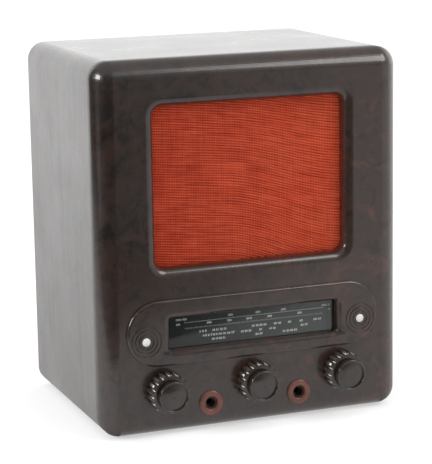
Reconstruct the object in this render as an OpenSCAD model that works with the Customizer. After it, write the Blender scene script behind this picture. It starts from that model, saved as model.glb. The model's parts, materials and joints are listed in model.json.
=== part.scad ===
// Table radio receiver of the 1930s: moulded cabinet, loudspeaker, valve chassis and tuning drive.
// Millimetres. The origin lies on the table, under the middle of the whole receiver, +Z is up and
// the front looks towards -Y. Inside the modules, y is the depth behind the cabinet's front face
// and z is the height above the cabinet's bottom.

/* [Cabinet] */
// Width of the cabinet
cab_w = 310; // [296:1:340]
// Height of the cabinet without its feet
cab_h = 361; // [345:1:390]
// Depth from the front face to the rear edge
cab_d = 224; // [215:1:260]
// Thickness of the moulded walls
wall = 5; // [4:0.5:6]
// Radius of the four long edges, seen from the front
corner_r = 18; // [16:1:26]
// Radius of the rounded edge round the front face
edge_r = 13; // [8:1:15]
// Height of the felt feet
foot_h = 2; // [1:0.5:5]
// Radius of the felt feet
foot_r = 9; // [6:1:12]
// Distance of the feet from the cabinet's sides, front and rear
foot_inset = 26; // [20:1:40]

/* [Speaker window] */
// Width of the opening
win_w = 196; // [170:1:200]
// Height of the front above the opening
top_bar = 44; // [38:1:60]
// Height of the front between the dial and the opening
mid_bar = 29.75; // [29:0.25:45]
// Corner radius of the opening
win_corner_r = 9; // [5:1:14]
// Radius of the rolled rim
rim_r = 9; // [7:0.5:11]
// Depth to which the rim turns in
rim_depth = 13; // [12:0.5:16]
// Thickness of the speaker cloth
cloth_t = 0.8; // [0.5:0.1:1]

/* [Dial] */
// Height of the escutcheon
esc_h = 64.5; // [60:0.5:70]
// Length of each end of the escutcheon beside the glass
esc_end = 43; // [40:0.5:46]
// How far the escutcheon stands proud
esc_proud = 3; // [2.6:0.1:4]
// Radius of the escutcheon's outer edge
esc_edge_r = 2.4; // [1:0.1:2.5]
// Width of the glass that shows
glass_w = 176; // [170:1:180]
// Height of the glass that shows
glass_h = 32; // [28:1:34]
// How far the glass sits below the escutcheon's middle
glass_drop = 2; // [0:0.5:4]
// Depth of the front of the glass
glass_y = 6; // [5.5:0.5:7]
// Thickness of the glass
glass_t = 2; // [1.5:0.5:2.5]
// How far the glass laps behind its rim
glass_lap = 4; // [3:0.5:4.5]
// Radius of the rolled rim round the glass
dial_rim_r = 5; // [3:0.5:5.5]
// Radius of the white buttons
button_r = 4; // [3:0.5:5]
// How far the buttons sit outside the middle of the escutcheon's round ends
button_out = 13.25; // [11:0.25:14]
// How far the buttons sit below the escutcheon's middle
button_drop = 6.4; // [4:0.1:8]
// Distance between the grooves round a button
groove_step = 3.8; // [3:0.1:4]
// Radius of such a groove
groove_r = 0.6; // [0.4:0.1:1]

/* [Knobs] */
// Distance between neighbouring knobs
knob_pitch = 92.5; // [88:0.5:97]
// Height of the knobs' axes
knob_z = 43; // [40:0.5:46]
// Radius of the fluted skirt
knob_r = 19.5; // [18:0.25:20]
// Length of a knob
knob_len = 24; // [20:1:30]
// Number of flutes
flutes = 18; // [14:1:20]
// Radius of a flute
flute_r = 2.4; // [1.8:0.1:2.6]
// Radius of the cap in front of the skirt
cap_r = 14.8; // [13:0.1:15.2]
// Gap between the knobs and the escutcheon
knob_clear = 5.25; // [4:0.25:8]
// Radius of the control shafts
shaft_r = 3; // [2.5:0.1:3.2]

/* [Sockets] */
// Outer radius of the insulating ring
ring_r = 12.5; // [11.5:0.1:14]
// Radius of the hole in the ring
ring_hole_r = 6; // [5:0.1:6.5]
// How far the ring stands proud
ring_proud = 2.6; // [2:0.1:3]
// Length of the rear half of a socket
jack_l = 17; // [14:0.5:18]
// Radius of the socket bore
jack_bore_r = 3.2; // [2.5:0.05:3.6]

/* [Chassis] */
// Space between the chassis and the cabinet's sides
chassis_side = 15; // [10:0.5:18]
// Depth of the chassis
chassis_d = 150; // [148:1:165]
// Depth of the chassis front behind the cabinet's front face
chassis_y = 30; // [30:0.5:34]
// Height of the chassis bottom
chassis_z = 12; // [10:0.5:14]
// Thickness of the chassis sheet
sheet_t = 1.5; // [1:0.1:2]

/* [Tuning drive] */
// Radius at which the cord lies on the drum
cord_pitch_r = 48; // [44:0.5:49]
// Radius of the pinch wheel that grips the drum
pinch_r = 5; // [4:0.1:6]
// Diameter of the drive cord
cord_d = 1; // [0.8:0.1:1.2]
// Radius at which the cord lies on the idlers
idler_r = 8; // [7:0.5:9]
// Radius of the pointer rail
rail_r = 1.5; // [1.2:0.1:2]
// Distance of the pointer from the right end of the glass when it is parked
park = 5.1; // [4:0.1:8]
// Radius of the moving vanes
vane_r = 24; // [20:0.5:26]

/* [Loudspeaker] */
// How far the loudspeaker reaches above and below the opening
speaker_lap = 4.5; // [2:0.5:6]
// Depth of the basket
basket_d = 38; // [30:1:50]
// Radius of the magnet
magnet_r = 34; // [28:1:40]
// Length of the magnet
magnet_l = 42; // [30:1:60]
// Thickness of the baffle board
board_t = 8; // [6:0.5:9]

/* [Valves] */
// Number of valves
valves = 4; // [3:1:4]
// Radius of a valve base
base_r = 16; // [14:0.5:17]
// Height of a valve base
base_h = 26; // [20:1:32]
// Largest radius of the glass
bulb_r = 21; // [18:0.5:22]

/* [Transformers and cans] */
// Width of the mains transformer
mains_w = 60; // [48:2:64]
// Height of the mains transformer
mains_h = 62; // [50:2:70]
// Thickness of its stack
mains_t = 26; // [20:1:30]
// Width of the output transformer
output_w = 42; // [36:2:46]
// Height of the output transformer
output_h = 40; // [34:2:46]
// Thickness of its stack
output_t = 16; // [12:1:20]
// Radius of the smoothing can
can_r = 16; // [12:0.5:17]
// Height of the smoothing can
can_h = 66; // [50:1:80]
// Radius of the coil cans
coil_r = 17; // [14:0.5:17.5]
// Height of the coil cans
coil_h = 58; // [40:1:70]

/* [Back cover] */
// Thickness of the back cover
back_t = 3; // [2:0.5:4]
// How far the back cover is set in from the rear edge
back_inset = 5; // [4:0.5:8]
// Length of a vent slot
slot_l = 52; // [40:1:60]
// Width of a vent slot
slot_w = 5; // [3:0.5:6]

/* [Hidden] */
$fn = 64;

// Clearance of a shaft in its bearing
run_gap = 0.05;
// Clearance between pieces that move past each other
free_gap = 0.3;
// Overlap of the pieces of one moulding
lap = 1;
// Screws and bolts
screw_r = 1.5;
bolt_r = 2;

// The knobs stand farthest out in front, the cabinet's rear edge is the farthest back.
knob_gap = 1;
front_y = (knob_gap + knob_len - cab_d) / 2;

// Heights of the rows of the front, from the knobs upward
drum_rim_r = cord_pitch_r + 4;
drum_z = knob_z + pinch_r + drum_rim_r;
esc_z = knob_z + knob_r + knob_clear + esc_h / 2;
esc_w = glass_w + 2 * esc_end;
glass_z = esc_z - glass_drop;
button_x = (esc_w - esc_h) / 2 + button_out;
button_z = esc_z - button_drop;
drum_gap = 10;
win_low = max(esc_z + esc_h / 2 + mid_bar, drum_z + drum_rim_r + drum_gap);
win_h = cab_h - top_bar - win_low;
win_z = win_low + win_h / 2;
speaker_r = win_h / 2 + speaker_lap;
jack_x = knob_pitch / 2;
jack_z = edge_r + ring_r;

ring_sleeve = 2.5;

// Places that follow from the window
board_y = rim_depth + cloth_t;
board_back = board_y + board_t;
board_margin = 8;
boss_r = 4.5;
board_boss_x = win_w / 2 + wall + 7;
board_boss_z = win_h / 2 - 8;

// Places that follow from the dial
collar_t = dial_rim_r + 0.5;
collar_gap = 0.3;
glass_corner_r = 2.5;
frame_y = glass_y + glass_t;
frame_t = 1.2;
frame_boss_x = glass_w / 2 + 12;
frame_boss_z = glass_h / 2 + 8;
needle_y = frame_y + 1.9;
needle_t = 0.6;
scale_y = frame_y + 4;
scale_t = 1;
bracket_y = scale_y + scale_t;
bracket_t = 1.2;
bracket_top = glass_z + glass_h / 2 + 8;
lamp_r = 5;
lamp_rim = lamp_r + 3.2;
lamp_x = glass_w / 2 - 14;

// The drum and its pinch wheel, the knob's spindle below the drum
rim_play = 0.2;
drum_groove_r = cord_pitch_r - cord_d / 2 - free_gap;
drum_flange_r = cord_pitch_r + 1.4;
disc_y = chassis_y - 5;
disc_t = 1.2;
drum_front = disc_y - 4.4;
drum_flange_t = 0.8;
cord_y_front = drum_front + drum_flange_t + 1.1;
cord_y_rear = cord_y_front + cord_d + 0.4;
travel = PI * cord_pitch_r;

// The pointer runs on its rail above the cord
cord_y = bracket_y + 4;
idler_t = 4;
idler_flange_r = idler_r + 1.5;
carriage_w = 10;
pointer_rest_x = glass_w / 2 - park;
idler_x = pointer_rest_x + carriage_w / 2 + idler_flange_r + 0.8;
idler_z = bracket_top + 2;
cord_z = idler_z + idler_r;
rail_z = cord_z + 5 + rail_r;
bracket_w = 2 * (idler_x + idler_flange_r + 1);
wing_w = 2 * (idler_flange_r + 1) - 2;
bracket_foot = 16;

// The chassis deck lies under the tuning capacitor
vane_gap = 4.5;
cap_sheet = 1.5;
deck_z = drum_z - vane_r - vane_gap - cap_sheet;
lamp_z = deck_z + bracket_t + lamp_rim + 2.6;
chassis_w = cab_w - 2 * (wall + chassis_side);
chassis_back = chassis_y + chassis_d;
chassis_bolt_x = chassis_w / 2 - 14;
chassis_bolt_y = 14;
chassis_head = 3.5;
cap_y = chassis_y + 6;
cap_half_w = vane_r + 6;
cap_top = drum_z + vane_r + 5;
gang_pitch = 3;
gang_vanes = 7;
vane_t = 0.6;
gang_l = gang_pitch * gang_vanes;
cap_l = 2 * gang_l + 16;

// The back cover
back_y = cab_d - back_inset - back_t;
back_boss_r = 7;
back_gap = 0.4;
back_head_r = 3.6;
back_corner = corner_r - wall;
// The screw heads keep clear of the rounded inner corners.
back_set = max(back_boss_r - back_gap,
    back_corner - (back_corner - back_head_r - back_gap) / sqrt(2));
back_boss_x = cab_w / 2 - wall - back_set;
back_boss_top = cab_h - wall - back_set;
back_boss_low = wall + back_set;

// The aerial and earth sockets and the opening for them
strip_w = 50;
strip_h = 22;
strip_x = chassis_w / 2 - strip_w / 2 - 18;
strip_z = (chassis_z + deck_z) / 2 - 3;
aerial_pitch = 19;
grommet_x = 37 - chassis_w / 2;
grommet_z = strip_z;
grommet_r = 5;

module in_case() {
    translate([0, front_y, foot_h]) children();
}

// Plate in the front's plane, drawn in x and z, from depth y to y + t
module slab(y, t) {
    translate([0, y + t, 0]) rotate([90, 0, 0]) linear_extrude(t) children();
}

// Turns a piece so that its own z axis runs back into the cabinet
module along_y(x, y, z) {
    translate([x, y, z]) rotate([-90, 0, 0]) children();
}

module rounded_rect(w, h, r) {
    square([w - 2 * r, h], center = true);
    square([w, h - 2 * r], center = true);
    for (sx = [-1, 1], sz = [-1, 1])
        translate([sx * (w / 2 - r), sz * (h / 2 - r)]) circle(r);
}

module stadium(w, h) {
    square([w - h, h], center = true);
    for (side = [-1, 1])
        translate([side * (w - h) / 2, 0]) circle(d = h);
}

// Sweeps a section round a rectangle with rounded corners that stands in the front's plane.
// In the section, x runs outward from the line of the rectangle and y runs back.
module swept_frame(w, h, r) {
    for (side = [0:3]) {
        run = side % 2 == 0 ? w : h;
        reach = side % 2 == 0 ? h : w;
        if (run > 2 * r + 0.01)
            rotate([0, 90 * side, 0])
                translate([run / 2 - r, 0, reach / 2])
                    rotate([0, -90, 0]) linear_extrude(run - 2 * r) children();
    }
    for (corner = [0:3]) {
        sx = corner == 0 || corner == 3 ? 1 : -1;
        sz = corner < 2 ? -1 : 1;
        translate([sx * (w / 2 - r), 0, sz * (h / 2 - r)])
            rotate([0, 90 * corner, 0]) rotate([-90, 0, 0])
                rotate_extrude(angle = 90) translate([r, 0]) children();
    }
}

// Quarter of a ring between two radii, in the corner towards -x and -y, for a rim that rolls in
module rim_quarter(outer, inner) {
    intersection() {
        translate([outer, outer]) difference() {
            circle(outer);
            if (inner > 0) circle(inner);
        }
        square(outer);
    }
}

// Cabinet
module cabinet_section() {
    translate([-wall, edge_r]) square([wall, cab_d - edge_r]);
    mirror([1, 0]) rim_quarter(edge_r, edge_r - wall);
    translate([-edge_r - lap, 0]) square([lap, wall]);
}

module window_section() {
    translate([0, rim_r]) square([wall, rim_depth - rim_r]);
    rim_quarter(rim_r, rim_r - wall);
    translate([rim_r, 0]) square([lap, wall]);
}

module cabinet_bosses() {
    // for the baffle board
    for (sx = [-1, 1], sz = [-1, 1])
        along_y(sx * board_boss_x, wall - lap, win_z + sz * board_boss_z)
            cylinder(r = boss_r, h = board_y - wall + lap);
    // for the frame that holds the glass
    for (sx = [-1, 1], sz = [-1, 1])
        along_y(sx * frame_boss_x, wall - lap, glass_z + sz * frame_boss_z)
            cylinder(r = boss_r - 0.5, h = frame_y - wall + lap);
    // for the back cover
    for (sx = [-1, 1], z = [back_boss_low, back_boss_top])
        along_y(sx * back_boss_x, back_y - 26, z) cylinder(r = back_boss_r, h = 26);
    // for the chassis
    for (sx = [-1, 1], y = [chassis_y + chassis_bolt_y, chassis_back - chassis_bolt_y])
        translate([sx * chassis_bolt_x, y, wall - lap]) cylinder(r = 8, h = chassis_z - wall + lap);
}

module cabinet_holes() {
    // for the escutcheon's collar
    slab(-1, wall + 2) translate([0, glass_z])
        rounded_rect(glass_w + 2 * (collar_t + collar_gap), glass_h + 2 * (collar_t + collar_gap),
            glass_corner_r + collar_t + collar_gap);
    for (side = [-1, 1]) {
        along_y(side * button_x, -1, button_z) cylinder(r = bolt_r + 0.1, h = wall + 2);
        along_y(side * jack_x, -1, jack_z) cylinder(r = ring_hole_r + ring_sleeve + 0.1, h = wall + 2);
    }
    for (x = [-knob_pitch, 0, knob_pitch])
        along_y(x, -1, knob_z) cylinder(r = shaft_r + 1.5, h = wall + 2);
    for (sx = [-1, 1], sz = [-1, 1]) {
        along_y(sx * board_boss_x, wall, win_z + sz * board_boss_z) cylinder(r = screw_r, h = board_y);
        along_y(sx * frame_boss_x, wall - 2, glass_z + sz * frame_boss_z) cylinder(r = 1.2, h = frame_y);
    }
    for (sx = [-1, 1], z = [back_boss_low, back_boss_top])
        along_y(sx * back_boss_x, back_y - 14, z) cylinder(r = screw_r, h = 15);
    for (sx = [-1, 1], y = [chassis_y + chassis_bolt_y, chassis_back - chassis_bolt_y])
        translate([sx * chassis_bolt_x, y, -1]) {
            cylinder(r = bolt_r + 0.3, h = chassis_z + 2);
            cylinder(r = bolt_r + 2.5, h = chassis_head + 1);
        }
}

module cabinet_shell() {
    color("#33241f") in_case() difference() {
        union() {
            translate([0, 0, cab_h / 2]) swept_frame(cab_w, cab_h, corner_r) cabinet_section();
            slab(0, wall) difference() {
                translate([0, cab_h / 2])
                    rounded_rect(cab_w - 2 * edge_r, cab_h - 2 * edge_r, corner_r - edge_r);
                translate([0, win_z])
                    rounded_rect(win_w + 2 * rim_r, win_h + 2 * rim_r, win_corner_r + rim_r);
            }
            translate([0, 0, win_z]) swept_frame(win_w, win_h, win_corner_r) window_section();
            cabinet_bosses();
        }
        cabinet_holes();
    }
}

module felt_feet() {
    color("#3b3b38") translate([0, front_y, 0])
        for (sx = [-1, 1], y = [foot_inset, cab_d - foot_inset])
            translate([sx * (cab_w / 2 - foot_inset), y, 0]) cylinder(r = foot_r, h = foot_h);
}

module vent_slot() {
    square([slot_l - slot_w, slot_w], center = true);
    for (side = [-1, 1])
        translate([side * (slot_l - slot_w) / 2, 0]) circle(d = slot_w);
}

module back_cover() {
    vent_rows = 7;
    vent_step = slot_w + 6;
    color("#6b4a2e") in_case() difference() {
        slab(back_y, back_t) difference() {
            translate([0, cab_h / 2])
                rounded_rect(cab_w - 2 * (wall + back_gap), cab_h - 2 * (wall + back_gap),
                    corner_r - wall - back_gap);
            // vents behind the loudspeaker and behind the valves
            for (column = [-1:1], row = [0:vent_rows - 1]) {
                translate([column * (slot_l + 14), win_z + (row - 3) * vent_step]) vent_slot();
                if (row < 4)
                    translate([column * (slot_l + 14), deck_z + 40 + row * vent_step]) vent_slot();
            }
            // window for the aerial and earth sockets
            translate([strip_x, strip_z]) rounded_rect(strip_w + 10, strip_h + 10, 4);
            translate([grommet_x, grommet_z]) circle(9);
        }
        for (sx = [-1, 1], z = [back_boss_low, back_boss_top])
            along_y(sx * back_boss_x, back_y - 1, z) cylinder(r = screw_r + 0.3, h = back_t + 2);
    }
}

// Screw with a round head and a slot, its head's underside at the origin and its shank along z
module slotted_screw(r, length, head_r, head_h) {
    difference() {
        union() {
            cylinder(r = r, h = length);
            translate([0, 0, -head_h]) cylinder(r = head_r, h = head_h);
        }
        translate([-head_r - 1, -0.4, -head_h - 1]) cube([2 * head_r + 2, 0.8, 1.6]);
    }
}

module hex_nut(r, bore, h) {
    difference() {
        cylinder(r = r, h = h, $fn = 6);
        translate([0, 0, -1]) cylinder(r = bore, h = h + 2);
    }
}

module back_cover_screws() {
    color("#8f8a80") in_case()
        for (sx = [-1, 1], z = [back_boss_low, back_boss_top])
            along_y(sx * back_boss_x, back_y + back_t, z) rotate([180, 0, 0])
                slotted_screw(screw_r - 0.02, back_t + 10, back_head_r, 2);
}

// Dial
module escutcheon_section() {
    translate([-esc_edge_r, -esc_proud]) mirror([1, 0]) translate([-esc_edge_r, 0])
        rim_quarter(esc_edge_r, 0);
    translate([-esc_edge_r, esc_edge_r - esc_proud]) square([esc_edge_r, esc_proud - esc_edge_r]);
    translate([-esc_edge_r - lap, -esc_proud]) square([lap, esc_proud]);
}

module collar_section() {
    translate([0, -esc_proud]) rim_quarter(dial_rim_r, 0);
    translate([0, dial_rim_r - esc_proud]) square([collar_t, glass_y + esc_proud - dial_rim_r]);
    translate([dial_rim_r, -esc_proud]) square([lap, esc_proud]);
}

// Grooves and seat at one end of the escutcheon
module button_rings() {
    for (k = [1:3])
        rotate_extrude() translate([button_r - 0.5 + k * groove_step, 0]) circle(groove_r);
    cylinder(r = bolt_r + 0.1, h = 10, center = true);
}

module dial_escutcheon() {
    color("#33241f") in_case() difference() {
        union() {
            translate([0, 0, esc_z]) swept_frame(esc_w, esc_h, esc_h / 2) escutcheon_section();
            slab(-esc_proud, esc_proud) difference() {
                translate([0, esc_z]) stadium(esc_w - 2 * esc_edge_r, esc_h - 2 * esc_edge_r);
                translate([0, glass_z])
                    rounded_rect(glass_w + 2 * dial_rim_r, glass_h + 2 * dial_rim_r,
                        glass_corner_r + dial_rim_r);
            }
            translate([0, 0, glass_z]) swept_frame(glass_w, glass_h, glass_corner_r) collar_section();
        }
        for (side = [-1, 1])
            along_y(side * button_x, -esc_proud, button_z) button_rings();
    }
}

// White buttons, the heads of the studs that hold the escutcheon
module escutcheon_buttons() {
    dome = 1.6;
    dome_r = (button_r * button_r + dome * dome) / (2 * dome);
    color("white") in_case() for (side = [-1, 1])
        along_y(side * button_x, -esc_proud, button_z) {
            intersection() {
                translate([0, 0, dome_r - dome]) sphere(dome_r);
                translate([0, 0, -dome]) cylinder(r = button_r, h = dome);
            }
            cylinder(r = bolt_r, h = esc_proud + wall + 4);
        }
}

module dial_glass() {
    color([0.75, 0.85, 0.82, 0.4]) in_case()
        slab(glass_y, glass_t) translate([0, glass_z])
            rounded_rect(glass_w + 2 * glass_lap, glass_h + 2 * glass_lap, glass_corner_r + 1);
}

module glass_frame() {
    color("#7d7a72") in_case() slab(frame_y, frame_t) translate([0, glass_z]) difference() {
        rounded_rect(2 * frame_boss_x + 12, 2 * frame_boss_z + 12, 5);
        rounded_rect(glass_w + 2, glass_h + 2, glass_corner_r);
        for (sx = [-1, 1], sz = [-1, 1])
            translate([sx * frame_boss_x, sz * frame_boss_z]) circle(screw_r);
    }
}

module scale_plate() {
    color("#15181a") in_case() slab(scale_y, scale_t) translate([0, glass_z])
        rounded_rect(glass_w + 14, glass_h + 12, 2);
}

// Bracket of folded sheet that stands on the chassis and carries the scale, idlers and rail
module dial_bracket() {
    foot_l = chassis_y - bracket_y + bracket_foot;
    wing_top = rail_z + rail_r + 3;
    ear_low = idler_z + idler_flange_r + 0.8;
    color("#7d7a72") in_case() difference() {
        union() {
            slab(bracket_y, bracket_t) {
                translate([-bracket_w / 2, deck_z]) square([bracket_w, bracket_top - deck_z]);
                for (side = [-1, 1])
                    translate([side * (bracket_w - wing_w) / 2, (deck_z + wing_top) / 2])
                        square([wing_w, wing_top - deck_z], center = true);
            }
            for (side = [-1, 1]) {
                translate([side * (bracket_w / 2 - 10) - 10, bracket_y, deck_z])
                    cube([20, foot_l, bracket_t]);
                translate([side * (bracket_w - bracket_t) / 2 - bracket_t / 2, bracket_y, ear_low])
                    cube([bracket_t, cord_y + rail_r + 3 - bracket_y, wing_top - ear_low]);
                // idler pin with its head
                along_y(side * idler_x, bracket_y, idler_z) {
                    cylinder(r = rail_r, h = cord_y + idler_t / 2 + 0.4 - bracket_y);
                    translate([0, 0, cord_y + idler_t / 2 + 0.4 - bracket_y]) cylinder(r = rail_r + 1, h = 1);
                    cylinder(r = rail_r + 1, h = cord_y - idler_t / 2 - 0.4 - bracket_y);
                }
            }
        }
        translate([-bracket_w, cord_y, rail_z]) rotate([0, 90, 0])
            cylinder(r = rail_r + run_gap, h = 2 * bracket_w);
        for (side = [-1, 1])
            along_y(side * lamp_x, bracket_y - 1, lamp_z) cylinder(r = lamp_r + 1, h = bracket_t + 2);
    }
}

module dial_lamps() {
    color([1, 0.95, 0.75, 0.6]) in_case() for (side = [-1, 1])
        along_y(side * lamp_x, bracket_y + bracket_t, lamp_z) {
            translate([0, 0, lamp_r + 0.3]) sphere(lamp_r);
            translate([0, 0, lamp_r + 0.3]) cylinder(r = 4, h = 10);
        }
}

module lamp_holders() {
    holder_l = 2 * lamp_r + 7;
    color("#b79a55") in_case() for (side = [-1, 1])
        along_y(side * lamp_x, bracket_y + bracket_t, lamp_z) difference() {
            union() {
                cylinder(r = lamp_rim, h = 1);
                cylinder(r = lamp_r + 1.4, h = holder_l);
            }
            translate([0, 0, -1]) cylinder(r = lamp_r + 0.4, h = lamp_r + 8);
            translate([0, 0, -1]) cylinder(r = 4.1, h = lamp_r + 11.4);
        }
}

module pointer_rail() {
    color("#b5b5b5") in_case() translate([-bracket_w / 2 - 1.5, cord_y, rail_z]) rotate([0, 90, 0])
        cylinder(r = rail_r, h = bracket_w + 3);
}

// Carriage on the rail, clip round the cord, and needle in front of the scale
module dial_pointer() {
    half_d = 2.2;
    arm_z = bracket_top + 5;
    color("#c8402a") in_case() translate([pointer_rest_x, 0, 0]) difference() {
        union() {
            translate([-carriage_w / 2, cord_y - half_d, rail_z - rail_r - 1.5])
                cube([carriage_w, 2 * half_d, 2 * rail_r + 3]);
            translate([-3, cord_y - 1.5, cord_z - 2]) cube([6, 3, rail_z - cord_z]);
            translate([-2, cord_y - 1.5, arm_z]) cube([4, 3, cord_z - arm_z]);
            translate([-2, needle_y, arm_z]) cube([4, cord_y + 1.5 - needle_y, 1]);
            translate([-0.4, needle_y, glass_z - glass_h / 2 - 1])
                cube([0.8, needle_t, arm_z + 1 - glass_z + glass_h / 2 + 1]);
        }
        translate([-carriage_w, cord_y, rail_z]) rotate([0, 90, 0])
            cylinder(r = rail_r + 0.06, h = 2 * carriage_w);
        translate([-carriage_w, cord_y, cord_z]) rotate([0, 90, 0])
            cylinder(r = cord_d / 2 + 0.35, h = 2 * carriage_w);
    }
}

// The cord leaves the drum low on each side, passes round an idler and runs level under the rail.
lean = atan2(idler_z - drum_z, idler_x);
tangent_turn = acos((cord_pitch_r - idler_r) / norm([idler_x, idler_z - drum_z]));
touch = lean - tangent_turn;
function on_drum(angle, y) = [cord_pitch_r * cos(angle), y, drum_z + cord_pitch_r * sin(angle)];
function on_idler(angle) = [idler_x + idler_r * cos(angle), cord_y, idler_z + idler_r * sin(angle)];
function mirrored(p) = [-p[0], p[1], p[2]];
function between(a, b, share) = a + share * (b - a);
// Straight run from the drum to the idler: level at first, then slanting to the idlers' depth
function slant(y) = let (a = on_drum(touch, y), b = on_idler(touch))
    [for (s = [0.06, 0.2, 0.9])
        let (p = between(a, b, s)) [p[0], s < 0.3 ? y : cord_y, p[2]]];
drum_steps = 27;
idler_steps = 8;
function run_from_drum(y) = concat(
    [for (k = [1:drum_steps]) on_drum(90 + k * (270 + touch) / drum_steps, y)],
    slant(y),
    [for (k = [0:idler_steps]) on_idler(touch + k * (90 - touch) / idler_steps)]);
right_run = run_from_drum(cord_y_rear);
left_run = [for (p = run_from_drum(cord_y_front)) mirrored(p)];
cord_top = [on_drum(90, (cord_y_front + cord_y_rear) / 2)];
cord_path = concat(cord_top, right_run, [for (k = [len(left_run) - 1:-1:0]) left_run[k]]);

function unit(v) = v / norm(v);
function heading(path, k) =
    let (n = len(path), a = path[(k + n - 1) % n], b = path[k], c = path[(k + 1) % n])
    unit(unit(b - a) + unit(c - b));

// Closed tube of 8 sides along a loop of points
module closed_tube(path, d) {
    sides = 8;
    n = len(path);
    side_way = [0, 1, 0];
    rings = [for (k = [0:n - 1])
        let (t = heading(path, k), u = unit(side_way - (side_way * t) * t), v = cross(t, u))
        for (j = [0:sides - 1])
            let (a = (j + 0.5) * 360 / sides) path[k] + d / 2 * (cos(a) * u + sin(a) * v)];
    faces = [for (k = [0:n - 1], j = [0:sides - 1], half = [0, 1])
        let (a = k * sides + j, b = k * sides + (j + 1) % sides,
            c = ((k + 1) % n) * sides + (j + 1) % sides, e = ((k + 1) % n) * sides + j)
        half == 0 ? [a, c, b] : [a, e, c]];
    polyhedron(rings, faces);
}

module drive_cord() {
    color("#cdbf95") in_case() closed_tube(cord_path, cord_d);
}

module idler(side) {
    groove = idler_t - 1.6;
    color("#b79a55") in_case() along_y(side * idler_x, cord_y - idler_t / 2, idler_z) difference() {
        cylinder(r = idler_flange_r, h = idler_t);
        translate([0, 0, -1]) cylinder(r = rail_r + run_gap, h = idler_t + 2);
        translate([0, 0, (idler_t - groove) / 2]) difference() {
            cylinder(r = idler_flange_r + 1, h = groove);
            translate([0, 0, -1]) cylinder(r = idler_r - cord_d / 2 - free_gap, h = groove + 2);
        }
    }
}

module idler_left() {
    idler(-1);
}

module idler_right() {
    idler(1);
}

module tuning_drum() {
    hub_r = 8;
    hub_l = 12;
    rim_t = 3;
    color("#a8a59c") in_case() along_y(0, drum_front, drum_z) difference() {
        union() {
            cylinder(r = hub_r, h = hub_l);
            translate([0, 0, disc_y - drum_front]) cylinder(r = drum_rim_r - 0.1, h = disc_t);
            difference() {
                union() {
                    cylinder(r = drum_groove_r, h = disc_y - drum_front + 0.1);
                    cylinder(r = drum_flange_r, h = drum_flange_t);
                }
                translate([0, 0, -1]) cylinder(r = drum_groove_r - rim_t, h = disc_y - drum_front + 1);
            }
        }
        translate([0, 0, -1]) cylinder(r = shaft_r + 0.02, h = hub_l + 2);
        for (a = [0:72:288])
            rotate([0, 0, a + 18]) translate([(hub_r + drum_groove_r) / 2, 0, -1]) cylinder(r = 9, h = hub_l);
    }
}

// Tuning spindle with the pinch wheel whose two cheeks grip the drum's rim
knob_bore_l = 15;
shaft_front = -knob_gap - knob_bore_l + 0.4;
bush_l = 12;
bush_y = chassis_y + bush_l;
module tuning_spindle() {
    cheek = 0.8;
    color("#b5b5b5") in_case() {
        along_y(0, shaft_front, knob_z) cylinder(r = shaft_r, h = bush_y + 4 - shaft_front);
        along_y(0, disc_y - rim_play - cheek, knob_z) {
            cylinder(r = pinch_r + 2.2, h = cheek);
            cylinder(r = pinch_r - 0.1, h = disc_t + 2 * rim_play + 2 * cheek);
            translate([0, 0, disc_t + 2 * rim_play + cheek]) cylinder(r = pinch_r + 2.2, h = cheek);
        }
        along_y(0, bush_y + 0.3, knob_z) cylinder(r = shaft_r + 2, h = 1);
    }
}

module tuning_bush() {
    color("#b79a55") in_case() along_y(0, chassis_y - sheet_t, knob_z) {
        difference() {
            union() {
                cylinder(r = shaft_r + 4.5, h = sheet_t);
                cylinder(r = shaft_r + 2, h = bush_l + sheet_t);
            }
            translate([0, 0, -1]) cylinder(r = shaft_r + run_gap, h = bush_l + 10);
        }
        translate([0, 0, 2 * sheet_t]) hex_nut(shaft_r + 5.5, shaft_r + 1.9, 3);
    }
}

// Fluted knob with its back at the origin and its face along z: a skirt with a rounded shoulder,
// a neck, and a cap whose low dome lies inside a narrow raised rim
module knob() {
    skirt_l = knob_len * 0.7;
    shoulder_r = 4.2;
    flute_out = 0.6;
    neck_r = cap_r - 1.4;
    neck_l = 1.6;
    rim_w = 1.4;
    hollow_w = 0.8;
    face_z = knob_len - 1.8;
    dome_r = cap_r - rim_w - hollow_w;
    dome_h = 1.3;
    dome_ball = (dome_r * dome_r + dome_h * dome_h) / (2 * dome_h);
    difference() {
        rotate_extrude() {
            square([knob_r, skirt_l - shoulder_r]);
            square([knob_r - shoulder_r, skirt_l]);
            translate([knob_r - shoulder_r, skirt_l - shoulder_r]) circle(shoulder_r);
            square([neck_r, skirt_l + neck_l + 1]);
            translate([0, skirt_l + neck_l]) square([cap_r, face_z - skirt_l - neck_l]);
            translate([cap_r - rim_w, face_z - 1]) square([rim_w, knob_len - face_z + 1 - rim_w / 2]);
            translate([cap_r - rim_w / 2, knob_len - rim_w / 2]) circle(rim_w / 2);
            intersection() {
                translate([0, face_z + dome_h - dome_ball]) circle(dome_ball);
                translate([0, face_z - 1]) square([dome_r, dome_h + 2]);
            }
        }
        for (k = [0:flutes - 1])
            rotate([0, 0, 360 * k / flutes]) translate([knob_r + flute_out, 0, -1])
                cylinder(r = flute_r, h = skirt_l + 1.5);
        translate([0, 0, -1]) cylinder(r = shaft_r + 0.02, h = knob_bore_l + 1);
    }
}

module placed_knob(x) {
    color("#1d1512") in_case() translate([x, -knob_gap, knob_z]) rotate([90, 0, 0]) knob();
}

module tuning_knob() {
    placed_knob(0);
}

module volume_knob() {
    placed_knob(-knob_pitch);
}

module range_knob() {
    placed_knob(knob_pitch);
}

// Threaded bushes of the volume control and the range switch pass through the chassis front.
control_y = chassis_y + sheet_t;
thread_r = shaft_r + 1.7;
module control_bush() {
    translate([0, 0, -sheet_t - 4]) cylinder(r = thread_r, h = sheet_t + 5);
}

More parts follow.
